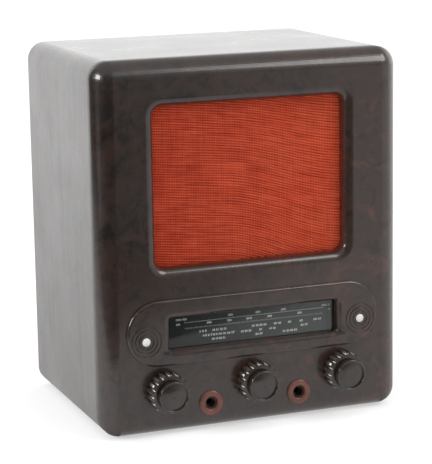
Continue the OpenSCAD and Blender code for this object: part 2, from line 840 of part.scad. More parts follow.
module volume_shaft() {
    color("#b5b5b5") in_case() along_y(-knob_pitch, shaft_front, knob_z) {
        cylinder(r = shaft_r, h = control_y + 12 - shaft_front);
        translate([0, 0, control_y + 7 - shaft_front]) cylinder(r = 12, h = 1);
    }
}

module volume_control() {
    color("#5a5148") in_case() along_y(-knob_pitch, control_y, knob_z) difference() {
        union() {
            control_bush();
            cylinder(r = 17, h = 14);
            for (a = [-28, 0, 28])
                rotate([0, 0, 90 + a]) translate([12, -2, 2]) cube([13, 4, 1]);
        }
        translate([0, 0, 1.5]) cylinder(r = 15.5, h = 11);
        translate([0, 0, -20]) cylinder(r = shaft_r + run_gap, h = 25);
    }
}

wafer_at = [9, 19];
module range_shaft() {
    color("#b5b5b5") in_case() along_y(knob_pitch, shaft_front, knob_z) {
        cylinder(r = shaft_r, h = control_y + 24 - shaft_front);
        for (w = wafer_at)
            translate([0, 0, control_y + w + 0.2 - shaft_front]) cylinder(r = 8, h = 1.2);
    }
}

module range_switch() {
    color("#8a6a3c") in_case() along_y(knob_pitch, control_y, knob_z) difference() {
        union() {
            control_bush();
            cylinder(r = 17, h = 1.5);
            for (w = wafer_at) translate([0, 0, w]) difference() {
                cylinder(r = 17, h = 1.6);
                translate([0, 0, -1]) cylinder(r = 8.3, h = 4);
            }
            for (side = [-1, 1])
                translate([side * 13, 0, 0]) cylinder(r = 1.6, h = 23);
        }
        translate([0, 0, -20]) cylinder(r = shaft_r + run_gap, h = 25);
    }
}

// Nuts of the two controls, and of the white buttons behind the cabinet's front
module panel_nuts() {
    color("#b79a55") in_case() for (side = [-1, 1]) {
        along_y(side * knob_pitch, chassis_y - 2.6, knob_z) hex_nut(thread_r + 2.6, thread_r + 0.02, 2.6);
        along_y(side * button_x, wall, button_z) hex_nut(4.2, bolt_r + 0.02, 2.4);
    }
}

// Tuning capacitor: the fixed vanes fill the left half, the moving vanes rest in the right half.
module capacitor_frame() {
    color("#a8a59c") in_case() difference() {
        union() {
            translate([-cap_half_w, cap_y, deck_z]) cube([2 * cap_half_w, cap_l, cap_sheet]);
            for (y = [cap_y, cap_y + cap_l - cap_sheet])
                translate([-cap_half_w, y, deck_z]) cube([2 * cap_half_w, cap_sheet, cap_top - deck_z]);
            for (side = [-1, 1])
                along_y(side * (cap_half_w - 3), cap_y, cap_top - 3) cylinder(r = 1.6, h = cap_l);
        }
        along_y(0, cap_y - 1, drum_z) cylinder(r = shaft_r + run_gap, h = cap_l + 2);
    }
}

fixed_rod_x = cap_half_w - 3.5;
fixed_rod_z = 0.72 * vane_r;
module capacitor_insulators() {
    color("#e6e1d2") in_case() for (y = [cap_y + cap_sheet, cap_y + cap_l - cap_sheet - 2], sz = [-1, 1])
        along_y(-fixed_rod_x, y, drum_z + sz * fixed_rod_z) cylinder(r = 3.2, h = 2);
}

module fixed_vanes() {
    plate_x = cap_half_w - 1.5;
    color("#c9c9c4") in_case() {
        for (sz = [-1, 1])
            along_y(-fixed_rod_x, cap_y + cap_sheet + 2, drum_z + sz * fixed_rod_z)
                cylinder(r = 1.3, h = cap_l - 2 * cap_sheet - 4);
        for (gang = [0, 1], k = [0:gang_vanes])
            slab(cap_y + 6 + gang * (gang_l + 4) + k * gang_pitch, vane_t) difference() {
                translate([-plate_x, drum_z - vane_r]) square([plate_x - 1, 2 * vane_r]);
                translate([0, drum_z]) circle(shaft_r + 2);
            }
    }
}

module moving_vanes() {
    color("#d4d4cf") in_case() {
        along_y(0, drum_front + 1, drum_z) cylinder(r = shaft_r, h = cap_y + cap_l + 3 - drum_front - 1);
        for (gang = [0, 1], k = [0:gang_vanes - 1])
            slab(cap_y + 6 + gang * (gang_l + 4) + (k + 0.5) * gang_pitch, vane_t)
                translate([0, drum_z]) intersection() {
                    circle(vane_r);
                    translate([0, -vane_r]) square([vane_r, 2 * vane_r]);
                }
    }
}

// Front sockets
ring_round = 2.4;
bush_front = 1;
bore_from = wall + 1.2;
bore_to = wall + jack_l;
socket_bush_r = ring_hole_r - 0.4;
module socket_rings() {
    color("#7c3a2e") in_case() for (side = [-1, 1])
        along_y(side * jack_x, -ring_proud, jack_z) rotate_extrude() {
            translate([ring_hole_r, ring_proud - 0.1]) square([ring_sleeve, wall + 0.1]);
            translate([ring_hole_r, ring_round])
                square([ring_r - ring_hole_r, ring_proud - ring_round]);
            translate([ring_hole_r + ring_round, 0])
                square([ring_r - ring_hole_r - 2 * ring_round, ring_proud]);
            for (r = [ring_hole_r + ring_round, ring_r - ring_round])
                intersection() {
                    translate([r, ring_round]) circle(ring_round);
                    translate([r - ring_round, 0]) square([2 * ring_round, ring_round]);
                }
        }
}

module socket_bushes() {
    color("#9a968c") in_case() for (side = [-1, 1])
        along_y(side * jack_x, bush_front, jack_z) difference() {
            cylinder(r = socket_bush_r, h = bore_to - bush_front);
            translate([0, 0, -1]) cylinder(r = socket_bush_r - 0.9, h = bore_from - bush_front + 1);
            cylinder(r = jack_bore_r, h = bore_to);
        }
}

module socket_blocks() {
    color("#4a3a30") in_case() for (side = [-1, 1]) difference() {
        translate([side * jack_x - 10, wall, jack_z - 10]) cube([20, bore_to - wall, 20]);
        along_y(side * jack_x, wall - 1, jack_z) cylinder(r = socket_bush_r + 0.02, h = bore_to);
    }
}

// Loudspeaker
module speaker_cloth() {
    color("#b3402a") in_case() slab(rim_depth, cloth_t) translate([0, win_z])
        square([win_w + 2 * wall + 4, win_h + 2 * wall + 4], center = true);
}

hole_r = speaker_r - 14;
speaker_head = 3.2;
module baffle_board() {
    color("#a9855a") in_case() difference() {
        slab(board_y, board_t) translate([0, win_z])
            square([2 * board_boss_x + 18, win_h + 2 * board_margin], center = true);
        along_y(0, board_y - 1, win_z) cylinder(r = hole_r, h = board_t + 2);
        for (sx = [-1, 1], sz = [-1, 1]) {
            along_y(sx * board_boss_x, board_y - 1, win_z + sz * board_boss_z)
                cylinder(r = screw_r + 0.3, h = board_t + 2);
        }
        for (a = [45:90:315])
            along_y((speaker_r - 4) * cos(a), board_y - 1, win_z + (speaker_r - 4) * sin(a)) {
                cylinder(r = bolt_r + 0.1, h = board_t + 2);
                cylinder(r = 4, h = speaker_head + 1);
            }
    }
}

// Screws in the bosses of the cabinet's front: for the baffle board and for the glass frame
module front_screws() {
    color("#8f8a80") in_case() for (sx = [-1, 1], sz = [-1, 1]) {
        along_y(sx * board_boss_x, board_back, win_z + sz * board_boss_z) rotate([180, 0, 0])
            slotted_screw(screw_r - 0.02, board_t + 7, 3.4, 1.8);
        along_y(sx * frame_boss_x, frame_y + frame_t, glass_z + sz * frame_boss_z) rotate([180, 0, 0])
            slotted_screw(1.18, frame_t + 4, 2.6, 1.4);
    }
}

gasket_t = 2.2;
flange_t = 1.5;
flange_y = board_back + gasket_t;
cone_r = speaker_r - 18;
neck_r = 13;
basket_back = flange_y + basket_d;
module speaker_gasket() {
    color("#8d7350") in_case() along_y(0, board_back, win_z) difference() {
        cylinder(r = speaker_r, h = gasket_t);
        translate([0, 0, -1]) cylinder(r = speaker_r - 8, h = gasket_t + 2);
        for (a = [45:90:315])
            rotate([0, 0, a]) translate([speaker_r - 4, 0, -1]) cylinder(r = bolt_r + 0.1, h = gasket_t + 2);
    }
}

module speaker_basket() {
    seat_r = magnet_r - 2;
    wall_r = speaker_r - 11;
    color("#5f6163") in_case() along_y(0, flange_y, win_z) difference() {
        union() {
            difference() {
                union() {
                    cylinder(r = speaker_r, h = flange_t);
                    translate([0, 0, flange_t - 0.1]) cylinder(r1 = wall_r, r2 = seat_r, h = basket_d - flange_t + 0.1);
                }
                translate([0, 0, -0.1])
                    cylinder(r1 = wall_r - 1.6, r2 = seat_r - 1.6, h = basket_d - flange_t);
            }
        }
        translate([0, 0, -1]) cylinder(r = neck_r + 1.5, h = basket_d + 2);
        for (a = [0:90:270])
            rotate([0, 0, a]) translate([seat_r, -18, flange_t + 6]) cube([wall_r, 36, basket_d - 20]);
        for (a = [45:90:315])
            rotate([0, 0, a]) translate([speaker_r - 4, 0, -1]) cylinder(r = bolt_r + 0.1, h = flange_t + 2);
    }
}

// Paper cone with one roll, glued to the front of the basket's flange
module speaker_cone() {
    paper = 0.8;
    roll_r = 2;
    cone_h = basket_d - 12;
    color("#3a3632") in_case() along_y(0, flange_y, win_z) rotate_extrude() {
        translate([cone_r + 2 * roll_r - paper, -paper])
            square([speaker_r - 8.3 - cone_r - 2 * roll_r + paper, paper]);
        intersection() {
            translate([cone_r + roll_r, 0]) difference() {
                circle(roll_r);
                circle(roll_r - paper);
            }
            translate([cone_r, -roll_r]) square([2 * roll_r, roll_r]);
        }
        polygon([[cone_r, 0], [cone_r + paper, 0], [neck_r, cone_h], [neck_r - 0.3, cone_h],
            [neck_r - 0.3, cone_h - paper]]);
    }
}

module speaker_dust_cap() {
    cap_h = 4;
    ball = (neck_r * neck_r + cap_h * cap_h) / (2 * cap_h);
    cap_y0 = basket_d - 12 - 1.6;
    color("#4b4640") in_case() along_y(0, flange_y + cap_y0 - cap_h, win_z) difference() {
        intersection() {
            translate([0, 0, ball]) sphere(ball);
            cylinder(r = neck_r, h = cap_h);
        }
        translate([0, 0, ball]) sphere(ball - 0.6);
    }
}

module voice_coil() {
    color("#b0673a") in_case() along_y(0, flange_y + basket_d - 13.6, win_z) difference() {
        union() {
            cylinder(r = neck_r - 0.35, h = 22);
            translate([0, 0, 14]) cylinder(r = neck_r + 0.1, h = 7);
        }
        translate([0, 0, -1]) cylinder(r = neck_r - 0.95, h = 30);
    }
}

module speaker_magnet() {
    plate = 6;
    color("#46484a") in_case() along_y(0, basket_back, win_z) {
        difference() {
            cylinder(r = magnet_r, h = magnet_l);
            translate([0, 0, -1]) cylinder(r = neck_r + 0.6, h = magnet_l - plate);
            translate([0, 0, plate]) cylinder(r = magnet_r - 5, h = magnet_l - 2 * plate);
        }
        translate([0, 0, -2]) cylinder(r = neck_r - 1.5, h = magnet_l - plate + 3);
    }
}

module speaker_bolts() {
    bolt_y = board_y + speaker_head;
    grip = flange_y + flange_t - bolt_y;
    color("#8f8a80") in_case() for (a = [45:90:315])
        along_y((speaker_r - 4) * cos(a), bolt_y, win_z + (speaker_r - 4) * sin(a)) {
            slotted_screw(bolt_r, grip + 4, 3.8, 2.4);
            translate([0, 0, grip]) hex_nut(3.8, bolt_r - 0.1, 2.6);
        }
}

// Chassis and what stands on it
stand_gap = 2;
socket_r = base_r + 4;
mains_x = mains_w / 2 + 6 - chassis_w / 2;
mains_y = chassis_back - mains_w / 6 - mains_t / 2 - 23;
output_x = output_w / 2 + 23 - chassis_w / 2;
output_y = chassis_y + 28 + output_t;
valve_first = mains_x + mains_w / 2 + 1.5 + socket_r;
valve_last = chassis_w / 2 - socket_r - stand_gap;
valve_x = [for (k = [0:valves - 1]) valve_first + k * (valve_last - valve_first) / (valves - 1)];
valve_y = chassis_back - socket_r - 10;
coil_x = chassis_w / 2 - coil_r - 15;
coil_at = [coil_x - 2 * coil_r - 2 * stand_gap, coil_x];
coil_y = chassis_y + bracket_foot + coil_r + stand_gap;
can_x = coil_x - 3;
can_y = coil_y + coil_r + can_r + stand_gap;

module chassis_tray() {
    tab = 28;
    inner_z = chassis_z - 1;
    color("#9b9c98") in_case() difference() {
        union() {
            difference() {
                translate([-chassis_w / 2, chassis_y, chassis_z])
                    cube([chassis_w, chassis_d, deck_z - chassis_z]);
                translate([-chassis_w / 2 + sheet_t, chassis_y + sheet_t, inner_z])
                    cube([chassis_w - 2 * sheet_t, chassis_d - 2 * sheet_t, deck_z - sheet_t - inner_z]);
            }
            for (sx = [-1, 1], y = [chassis_y, chassis_back - tab])
                translate([sx * (chassis_w - tab) / 2 - tab / 2, y, chassis_z]) cube([tab, tab, sheet_t]);
        }
        for (sx = [-1, 1], y = [chassis_y + chassis_bolt_y, chassis_back - chassis_bolt_y])
            translate([sx * chassis_bolt_x, y, inner_z]) cylinder(r = bolt_r + 0.3, h = 5);
        for (x = valve_x)
            translate([x, valve_y, deck_z - 5]) cylinder(r = base_r - 1, h = 10);
        along_y(0, chassis_y - 1, knob_z) cylinder(r = shaft_r + 2.02, h = sheet_t + 2);
        for (side = [-1, 1])
            along_y(side * knob_pitch, chassis_y - 1, knob_z) cylinder(r = thread_r + 0.05, h = sheet_t + 2);
        translate([can_x, can_y, deck_z - 5]) cylinder(r = 5.1, h = 10);
        for (side = [-1, 1])
            along_y(strip_x + side * aerial_pitch / 2, chassis_back - 3, strip_z) cylinder(r = 5, h = 6);
        along_y(grommet_x, chassis_back - 3, grommet_z) cylinder(r = grommet_r, h = 6);
    }
}

module chassis_bolts() {
    sunk = 0.4;
    color("#8f8a80") in_case()
        for (sx = [-1, 1], y = [chassis_y + chassis_bolt_y, chassis_back - chassis_bolt_y])
            translate([sx * chassis_bolt_x, y, 0]) {
                translate([0, 0, chassis_head])
                    slotted_screw(bolt_r, chassis_z + 4, bolt_r + 2, chassis_head - sunk);
                translate([0, 0, chassis_z + sheet_t]) hex_nut(4, bolt_r - 0.1, 3);
            }
}

// Laminated core with two windows, standing on the deck, its stack along y
module lamination_core(w, h, t) {
    leg = w / 6;
    difference() {
        translate([-w / 2, -t / 2, 0]) cube([w, t, h]);
        for (side = [-1, 1])
            translate([side * w / 4 - w / 12, -t, leg]) cube([leg, 2 * t, h - 2 * leg]);
    }
}

// Winding round the middle limb of such a core
module core_winding(w, h, t) {
    leg = w / 6;
    gap = 0.3;
    reach = leg - gap;
    translate([0, 0, leg + gap]) difference() {
        linear_extrude(h - 2 * leg - 2 * gap)
            rounded_rect(2 * leg + 2 * reach, t + 2 * reach, reach - 1);
        translate([-leg - gap / 3, -t / 2 - gap / 3, -1])
            cube([2 * leg + 2 * gap / 3, t + 2 * gap / 3, h]);
    }
}

module mains_transformer() {
    color("#57524a") in_case() translate([mains_x, mains_y, deck_z])
        lamination_core(mains_w, mains_h, mains_t);
}

module mains_winding() {
    color("#b58a4a") in_case() translate([mains_x, mains_y, deck_z])
        core_winding(mains_w, mains_h, mains_t);
}

module output_transformer() {
    color("#57524a") in_case() translate([output_x, output_y, deck_z])
        lamination_core(output_w, output_h, output_t);
}

module output_winding() {
    color("#b58a4a") in_case() translate([output_x, output_y, deck_z])
        core_winding(output_w, output_h, output_t);
}

socket_t = 3;
pin_hole_r = 1.4;
module at_valves() {
    for (x = valve_x)
        translate([x, valve_y, deck_z]) children();
}

module valve_sockets() {
    color("#4a3a30") in_case() at_valves() difference() {
        union() {
            cylinder(r = socket_r, h = socket_t);
            translate([0, 0, -8]) cylinder(r = base_r - 1.2, h = 9);
        }
        for (a = [0:72:288])
            rotate([0, 0, a]) translate([base_r - 6, 0, -20]) cylinder(r = pin_hole_r, h = 30);
    }
}

module valve_bases() {
    color("#2a201c") in_case() at_valves() translate([0, 0, socket_t]) difference() {
        union() {
            cylinder(r = base_r, h = base_h);
            for (a = [0:72:288])
                rotate([0, 0, a]) translate([base_r - 6, 0, -8]) cylinder(r = pin_hole_r - 0.05, h = 9);
        }
        translate([0, 0, 3]) cylinder(r = base_r - 1.5, h = base_h);
    }
}

// Envelope section: neck in the base, wide bulb, and a small dome on top
module bulb_section(inset) {
    neck = base_r - 1.7 - inset;
    bulb_z = base_h + bulb_r + 4;
    dome_r = 13 - inset;
    dome_z = bulb_z + bulb_r + 8;
    intersection() {
        union() {
            translate([0, base_h - 8 + inset]) square([neck, bulb_z - base_h + 8 - inset]);
            translate([0, bulb_z]) circle(bulb_r - inset);
            translate([0, bulb_z]) square([dome_r, dome_z - bulb_z]);
            translate([0, dome_z]) circle(dome_r);
        }
        translate([0, base_h - 9]) square([100, 200]);
    }
}

module valve_bulbs() {
    color([0.8, 0.85, 0.85, 0.5]) in_case() at_valves() translate([0, 0, socket_t])
        rotate_extrude() difference() {
            bulb_section(0);
            bulb_section(1);
        }
}

module valve_anodes() {
    stem_z = base_h - 7;
    color("#5d5f60") in_case() at_valves() translate([0, 0, socket_t]) {
        translate([0, 0, stem_z]) cylinder(r = 5, h = 13);
        translate([0, 0, stem_z + 12]) difference() {
            cylinder(r = 9, h = 34);
            translate([0, 0, 1]) cylinder(r = 8.2, h = 40);
        }
    }
}

module smoothing_can() {
    color("#b9bcbd") in_case() translate([can_x, can_y, deck_z]) {
        cylinder(r = can_r, h = can_h);
        translate([0, 0, -10]) cylinder(r = 5, h = 11);
        translate([0, 0, -sheet_t - 3]) cylinder(r = 9, h = 3, $fn = 6);
    }
}

module coil_cans() {
    crown = 4;
    color("#b9bcbd") in_case() for (x = coil_at)
        translate([x, coil_y, deck_z]) rotate_extrude() {
            square([coil_r, coil_h - crown]);
            square([coil_r - crown, coil_h]);
            translate([coil_r - crown, coil_h - crown]) circle(crown);
        }
}

// Insulating strip for the aerial and earth sockets, on the back of the chassis
strip_t = 2.5;
aerial_r = 3;
aerial_bore_r = 2.05;
module aerial_strip() {
    color("#7a4a2a") in_case() difference() {
        slab(chassis_back, strip_t) translate([strip_x, strip_z])
            square([strip_w, strip_h], center = true);
        for (side = [-1, 1])
            along_y(strip_x + side * aerial_pitch / 2, chassis_back - 1, strip_z)
                cylinder(r = aerial_r + 0.02, h = strip_t + 2);
    }
}

module aerial_sockets() {
    color("#b79a55") in_case() for (side = [-1, 1])
        along_y(strip_x + side * aerial_pitch / 2, chassis_back, strip_z) difference() {
            union() {
                translate([0, 0, -8]) cylinder(r = aerial_r, h = 26);
                translate([0, 0, strip_t]) cylinder(r = aerial_r + 1.5, h = 15.5);
            }
            translate([0, 0, strip_t + 1.5]) cylinder(r = aerial_bore_r, h = 20);
        }
}

// Rubber grommet for the mains lead, snapped into the back of the chassis
module mains_grommet() {
    brim = 1.8;
    color("#1c1c1c") in_case() along_y(grommet_x, chassis_back - sheet_t - brim, grommet_z)
        difference() {
            union() {
                cylinder(r = grommet_r + 2.5, h = brim);
                cylinder(r = grommet_r - 0.02, h = sheet_t + 2 * brim);
                translate([0, 0, sheet_t + brim]) cylinder(r = grommet_r + 2.5, h = brim);
            }
            translate([0, 0, -1]) cylinder(r = grommet_r - 2, h = sheet_t + 2 * brim + 2);
        }
}

cabinet_shell();
felt_feet();
back_cover();
back_cover_screws();
dial_escutcheon();
escutcheon_buttons();
dial_glass();
glass_frame();
scale_plate();
dial_bracket();
dial_lamps();
lamp_holders();
pointer_rail();
drive_cord();
dial_pointer();
idler_left();
idler_right();
tuning_drum();
tuning_spindle();
tuning_bush();
tuning_knob();
volume_knob();
volume_shaft();
volume_control();
range_knob();
range_shaft();
range_switch();
panel_nuts();
capacitor_frame();
capacitor_insulators();
fixed_vanes();
moving_vanes();
socket_rings();
socket_bushes();
socket_blocks();
speaker_cloth();
baffle_board();
front_screws();
speaker_gasket();
speaker_basket();
speaker_cone();
speaker_dust_cap();
voice_coil();
speaker_magnet();
speaker_bolts();
chassis_tray();
chassis_bolts();
mains_transformer();
mains_winding();
output_transformer();
output_winding();
valve_sockets();
valve_bases();
valve_bulbs();
valve_anodes();
smoothing_can();
coil_cans();
aerial_strip();
aerial_sockets();
mains_grommet();
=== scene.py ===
import json
import math

import bpy
import bmesh
from mathutils import Matrix, Vector


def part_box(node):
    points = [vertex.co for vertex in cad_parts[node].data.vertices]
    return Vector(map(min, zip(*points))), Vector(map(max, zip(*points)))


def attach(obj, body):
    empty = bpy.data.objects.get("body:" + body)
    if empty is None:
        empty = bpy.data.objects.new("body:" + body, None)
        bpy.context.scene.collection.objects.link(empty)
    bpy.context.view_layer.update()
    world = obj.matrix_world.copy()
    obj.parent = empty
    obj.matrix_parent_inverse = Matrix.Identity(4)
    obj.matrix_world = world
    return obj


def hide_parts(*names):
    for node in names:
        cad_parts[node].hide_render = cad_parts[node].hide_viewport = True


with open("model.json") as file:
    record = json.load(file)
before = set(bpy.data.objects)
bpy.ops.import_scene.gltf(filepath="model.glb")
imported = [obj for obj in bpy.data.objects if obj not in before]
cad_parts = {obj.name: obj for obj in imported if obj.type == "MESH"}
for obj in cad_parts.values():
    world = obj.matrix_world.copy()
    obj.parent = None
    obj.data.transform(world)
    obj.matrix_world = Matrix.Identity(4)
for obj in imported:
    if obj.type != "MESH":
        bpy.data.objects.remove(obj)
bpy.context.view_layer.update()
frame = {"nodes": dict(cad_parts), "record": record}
nodes = frame["nodes"]

# Places: X to the right, d the depth behind the front face, z the height above the cabinet's bottom, in mm
FRONT_Y, FOOT_H = -99.5, 2.0

# The cabinet and the knobs, in metres
CASE_HALF_W = 0.155
CASE_TOP = 0.363
CASE_FRONT = -0.0995
KNOB_Z = 0.045
HALF_KNOB_PITCH = 0.04625
FLUTES = 18

# Vertical middle of the lower lip of the dial's window
LIP_Z = 0.0828

# Camera, fitted to the photograph: angles in degrees, lengths in mm, the rest in pixels
CAM_YAW, CAM_PITCH, CAM_ROLL = 21.1382, 10.9531, -0.9676
CAM_AIM = (0, 0, 190)
CAM_DISTANCE = 1905.54
CAM_NUDGE = (0, 12.5, 2)
CAM_FOCAL = 1874.77
CAM_SHIFT = (5.252, -19.805)
IMAGE_H = 464
SENSOR_W = 36

# Colours of the moulding: ground, mottle and red patches
MOULDING = ((0.0145, 0.0095, 0.0075), (0.037, 0.0172, 0.0110), (0.086, 0.028, 0.016))
KNOB_MOULDING = ((0.016, 0.0105, 0.0075), (0.030, 0.019, 0.0135), (0.040, 0.020, 0.013))
# paler colour for the crests of the knobs' flutes, a painted highlight
CREST_HIGHLIGHT = (0.062, 0.047, 0.037)
GLASS_TINT = (0.93, 0.97, 0.95)


def place(x, d, z):
    return Vector((x, FRONT_Y + d, z + FOOT_H)) / 1000.0


# Camera
def make_camera():
    yaw, pitch, roll = (math.radians(v) for v in (CAM_YAW, CAM_PITCH, CAM_ROLL))
    fwd = Vector((math.sin(yaw) * math.cos(pitch), math.cos(yaw) * math.cos(pitch), -math.sin(pitch)))
    level = Vector((math.cos(yaw), -math.sin(yaw), 0))
    up = level.cross(fwd)
    side = level * math.cos(roll) + up * math.sin(roll)
    top = -level * math.sin(roll) + up * math.cos(roll)
    eye = (Vector(CAM_AIM) - fwd * CAM_DISTANCE + Vector(CAM_NUDGE)) / 1000
    data = bpy.data.cameras.new("camera")
    data.sensor_width = SENSOR_W
    data.lens = CAM_FOCAL * SENSOR_W / IMAGE_H
    data.shift_x, data.shift_y = (v / IMAGE_H for v in CAM_SHIFT)
    data.clip_end = 100
    cam = bpy.data.objects.new("camera", data)
    turn = Matrix((side, top, -fwd)).transposed().to_4x4()
    cam.matrix_world = Matrix.Translation(eye) @ turn
    bpy.context.scene.collection.objects.link(cam)
    bpy.context.scene.camera = cam


make_camera()


# Node helpers
class Shade:
    """Small wrapper round a node tree, so that materials read as formulas."""

    def __init__(self, tree):
        self.t = tree
        self.t.nodes.clear()

    def add(self, kind, **sets):
        n = self.t.nodes.new(kind)
        for k, v in sets.items():
            setattr(n, k, v)
        return n

    def put(self, socket, value):
        if isinstance(value, bpy.types.NodeSocket):
            self.t.links.new(value, socket)
        elif isinstance(value, (tuple, list)) and len(value) == 3 and len(socket.default_value) == 4:
            socket.default_value = (*value, 1)
        else:
            socket.default_value = value

    def coords(self, kind="Object"):
        return self.add("ShaderNodeTexCoord").outputs[kind]

    def normal(self):
        return self.add("ShaderNodeNewGeometry").outputs["Normal"]

    def mapped(self, vector, scale):
        n = self.add("ShaderNodeMapping")
        self.put(n.inputs["Vector"], vector)
        n.inputs["Scale"].default_value = scale
        return n.outputs["Vector"]

    def noise(self, vector, scale, detail=3.0, rough=0.5, distort=0.0, what="Fac"):
        n = self.add("ShaderNodeTexNoise")
        self.put(n.inputs["Vector"], vector)
        self.put(n.inputs["Scale"], scale)
        n.inputs["Detail"].default_value = detail
        n.inputs["Roughness"].default_value = rough
        n.inputs["Distortion"].default_value = distort
        return n.outputs[what]

    def ramp(self, fac, stops):
        n = self.add("ShaderNodeValToRGB")
        e = n.color_ramp.elements
        while len(e) < len(stops):
            e.new(0.5)
        for k, (at, col) in enumerate(stops):
            e[k].position = at
            e[k].color = (col, col, col, 1) if isinstance(col, (int, float)) else (*col, 1)
        self.put(n.inputs["Fac"], fac)
        return n.outputs["Color"]

    def math(self, op, a, b=0.0, c=0.0):
        n = self.add("ShaderNodeMath", operation=op)
        for k, v in enumerate((a, b, c)):
            self.put(n.inputs[k], v)
        return n.outputs[0]

    def mix(self, fac, a, b, kind="MIX"):
        n = self.add("ShaderNodeMix", data_type="RGBA", blend_type=kind)
        self.put(n.inputs[0], fac)
        self.put(n.inputs[6], a)
        self.put(n.inputs[7], b)
        return n.outputs[2]

    def span(self, value, low, high, to_low=0.0, to_high=1.0, smooth=False):
        n = self.add("ShaderNodeMapRange", interpolation_type="SMOOTHSTEP" if smooth else "LINEAR")
        self.put(n.inputs[0], value)
        for k, v in zip((1, 2, 3, 4), (low, high, to_low, to_high)):
            n.inputs[k].default_value = v
        return n.outputs[0]

    def parts(self, vector):
        n = self.add("ShaderNodeSeparateXYZ")
        self.put(n.inputs[0], vector)
        return n.outputs

    def join(self, x, y, z):
        n = self.add("ShaderNodeCombineXYZ")
        for k, v in enumerate((x, y, z)):
            self.put(n.inputs[k], v)
        return n.outputs[0]

    def bump(self, height, distance, strength=1.0, normal=None):
        n = self.add("ShaderNodeBump")
        self.put(n.inputs["Height"], height)
        n.inputs["Distance"].default_value = distance
        n.inputs["Strength"].default_value = strength
        if normal is not None:
            self.put(n.inputs["Normal"], normal)
        return n.outputs["Normal"]

    def surface(self, **sets):
        b = self.add("ShaderNodeBsdfPrincipled")
        for k, v in sets.items():
            self.put(b.inputs[k.replace("_", " ")], v)
        out = self.add("ShaderNodeOutputMaterial")
        self.t.links.new(b.outputs[0], out.inputs["Surface"])
        return b


def material(name):
    m = bpy.data.materials.new(name)
    m.use_nodes = True
    return m, Shade(m.node_tree)


def tint(color, by):
    return tuple(max(0.0, min(1.0, c * by)) for c in color)


# Materials
def soft_edges(s, p):
    """The rolled front edges of the moulding, as how far each point lies within an ellipsoid at the edge.

    The distance from the ellipsoid is near * (near - 1) / steep, with steep the length of its gradient.
    """
    x, y, z = s.parts(p)
    wide, deep = 0.018, 0.027
    across = s.math("MAXIMUM", s.math("SUBTRACT", s.math("ABSOLUTE", x), CASE_HALF_W - wide), 0.0)
    up = s.math("MAXIMUM", s.math("SUBTRACT", z, CASE_TOP - wide), 0.0)
    out = s.math("MAXIMUM", s.math("SUBTRACT", CASE_FRONT + deep, y), 0.0)
    rim = s.math("ADD", s.math("MULTIPLY", across, across), s.math("MULTIPLY", up, up))
    front = s.math("MULTIPLY", out, out)

    def blend(power):
        return s.math("SQRT", s.math("ADD", s.math("MULTIPLY", rim, wide ** power),
                                     s.math("MULTIPLY", front, deep ** power)))

    near, steep = blend(-2), blend(-4)
    proud = s.math("DIVIDE", s.math("MULTIPLY", near, s.math("SUBTRACT", near, 1.0)),
                   s.math("MAXIMUM", steep, 1.0))
    height = s.math("MULTIPLY", proud, s.span(rim, 0.0, 1.0e-6, 0.0, -1.0))
    return s.bump(height, 1.0, 1.0)


def round_knob(s, p):
    """Every knob's own x and z, its radius there, and the depth y."""
    x, y, z = s.parts(p)
    x = s.math("WRAP", x, HALF_KNOB_PITCH, -HALF_KNOB_PITCH)
    z = s.math("SUBTRACT", z, KNOB_Z)
    radius = s.math("SQRT", s.math("ADD", s.math("MULTIPLY", x, x), s.math("MULTIPLY", z, z)))
    return x, y, z, radius


def fluted_skirt(s, p):
    """The flutes of the knobs look barrelled: a height that falls towards the front of each skirt."""
    x, y, z, radius = round_knob(s, p)
    skirt_front, skirt_back = -0.1173, -0.1005
    u = s.span(y, skirt_front, skirt_back, 0.0, 1.0)
    height = s.math("MULTIPLY", u, s.math("MULTIPLY_ADD", u, -0.3, 0.8))
    height = s.math("MULTIPLY", height, s.span(radius, 0.0150, 0.0156, 0.0, skirt_back - skirt_front))
    return s.bump(height, 1.0, 1.0)


def crest_highlight(s, p):
    """The crests between the knobs' flutes, made paler as a painted highlight."""
    x, y, z, radius = round_knob(s, p)
    wave = s.math("COSINE", s.math("MULTIPLY", s.math("ARCTAN2", z, x), float(FLUTES)))
    crest = s.span(wave, 0.1, -0.8, 0.0, 1.0, True)
    return s.math("MULTIPLY", crest, s.span(radius, 0.0168, 0.0182, 0.0, 1.0))


def dull_lip(s, p):
    """Where the lower lip of the dial's window has lost its polish."""
    x, y, z = s.parts(p)
    off = s.math("ABSOLUTE", s.math("SUBTRACT", z, LIP_Z))
    return s.math("MULTIPLY", s.span(off, 0.0014, 0.0022, 1.0, 0.0, True),
                  s.span(s.math("ABSOLUTE", x), 0.094, 0.097, 1.0, 0.0))


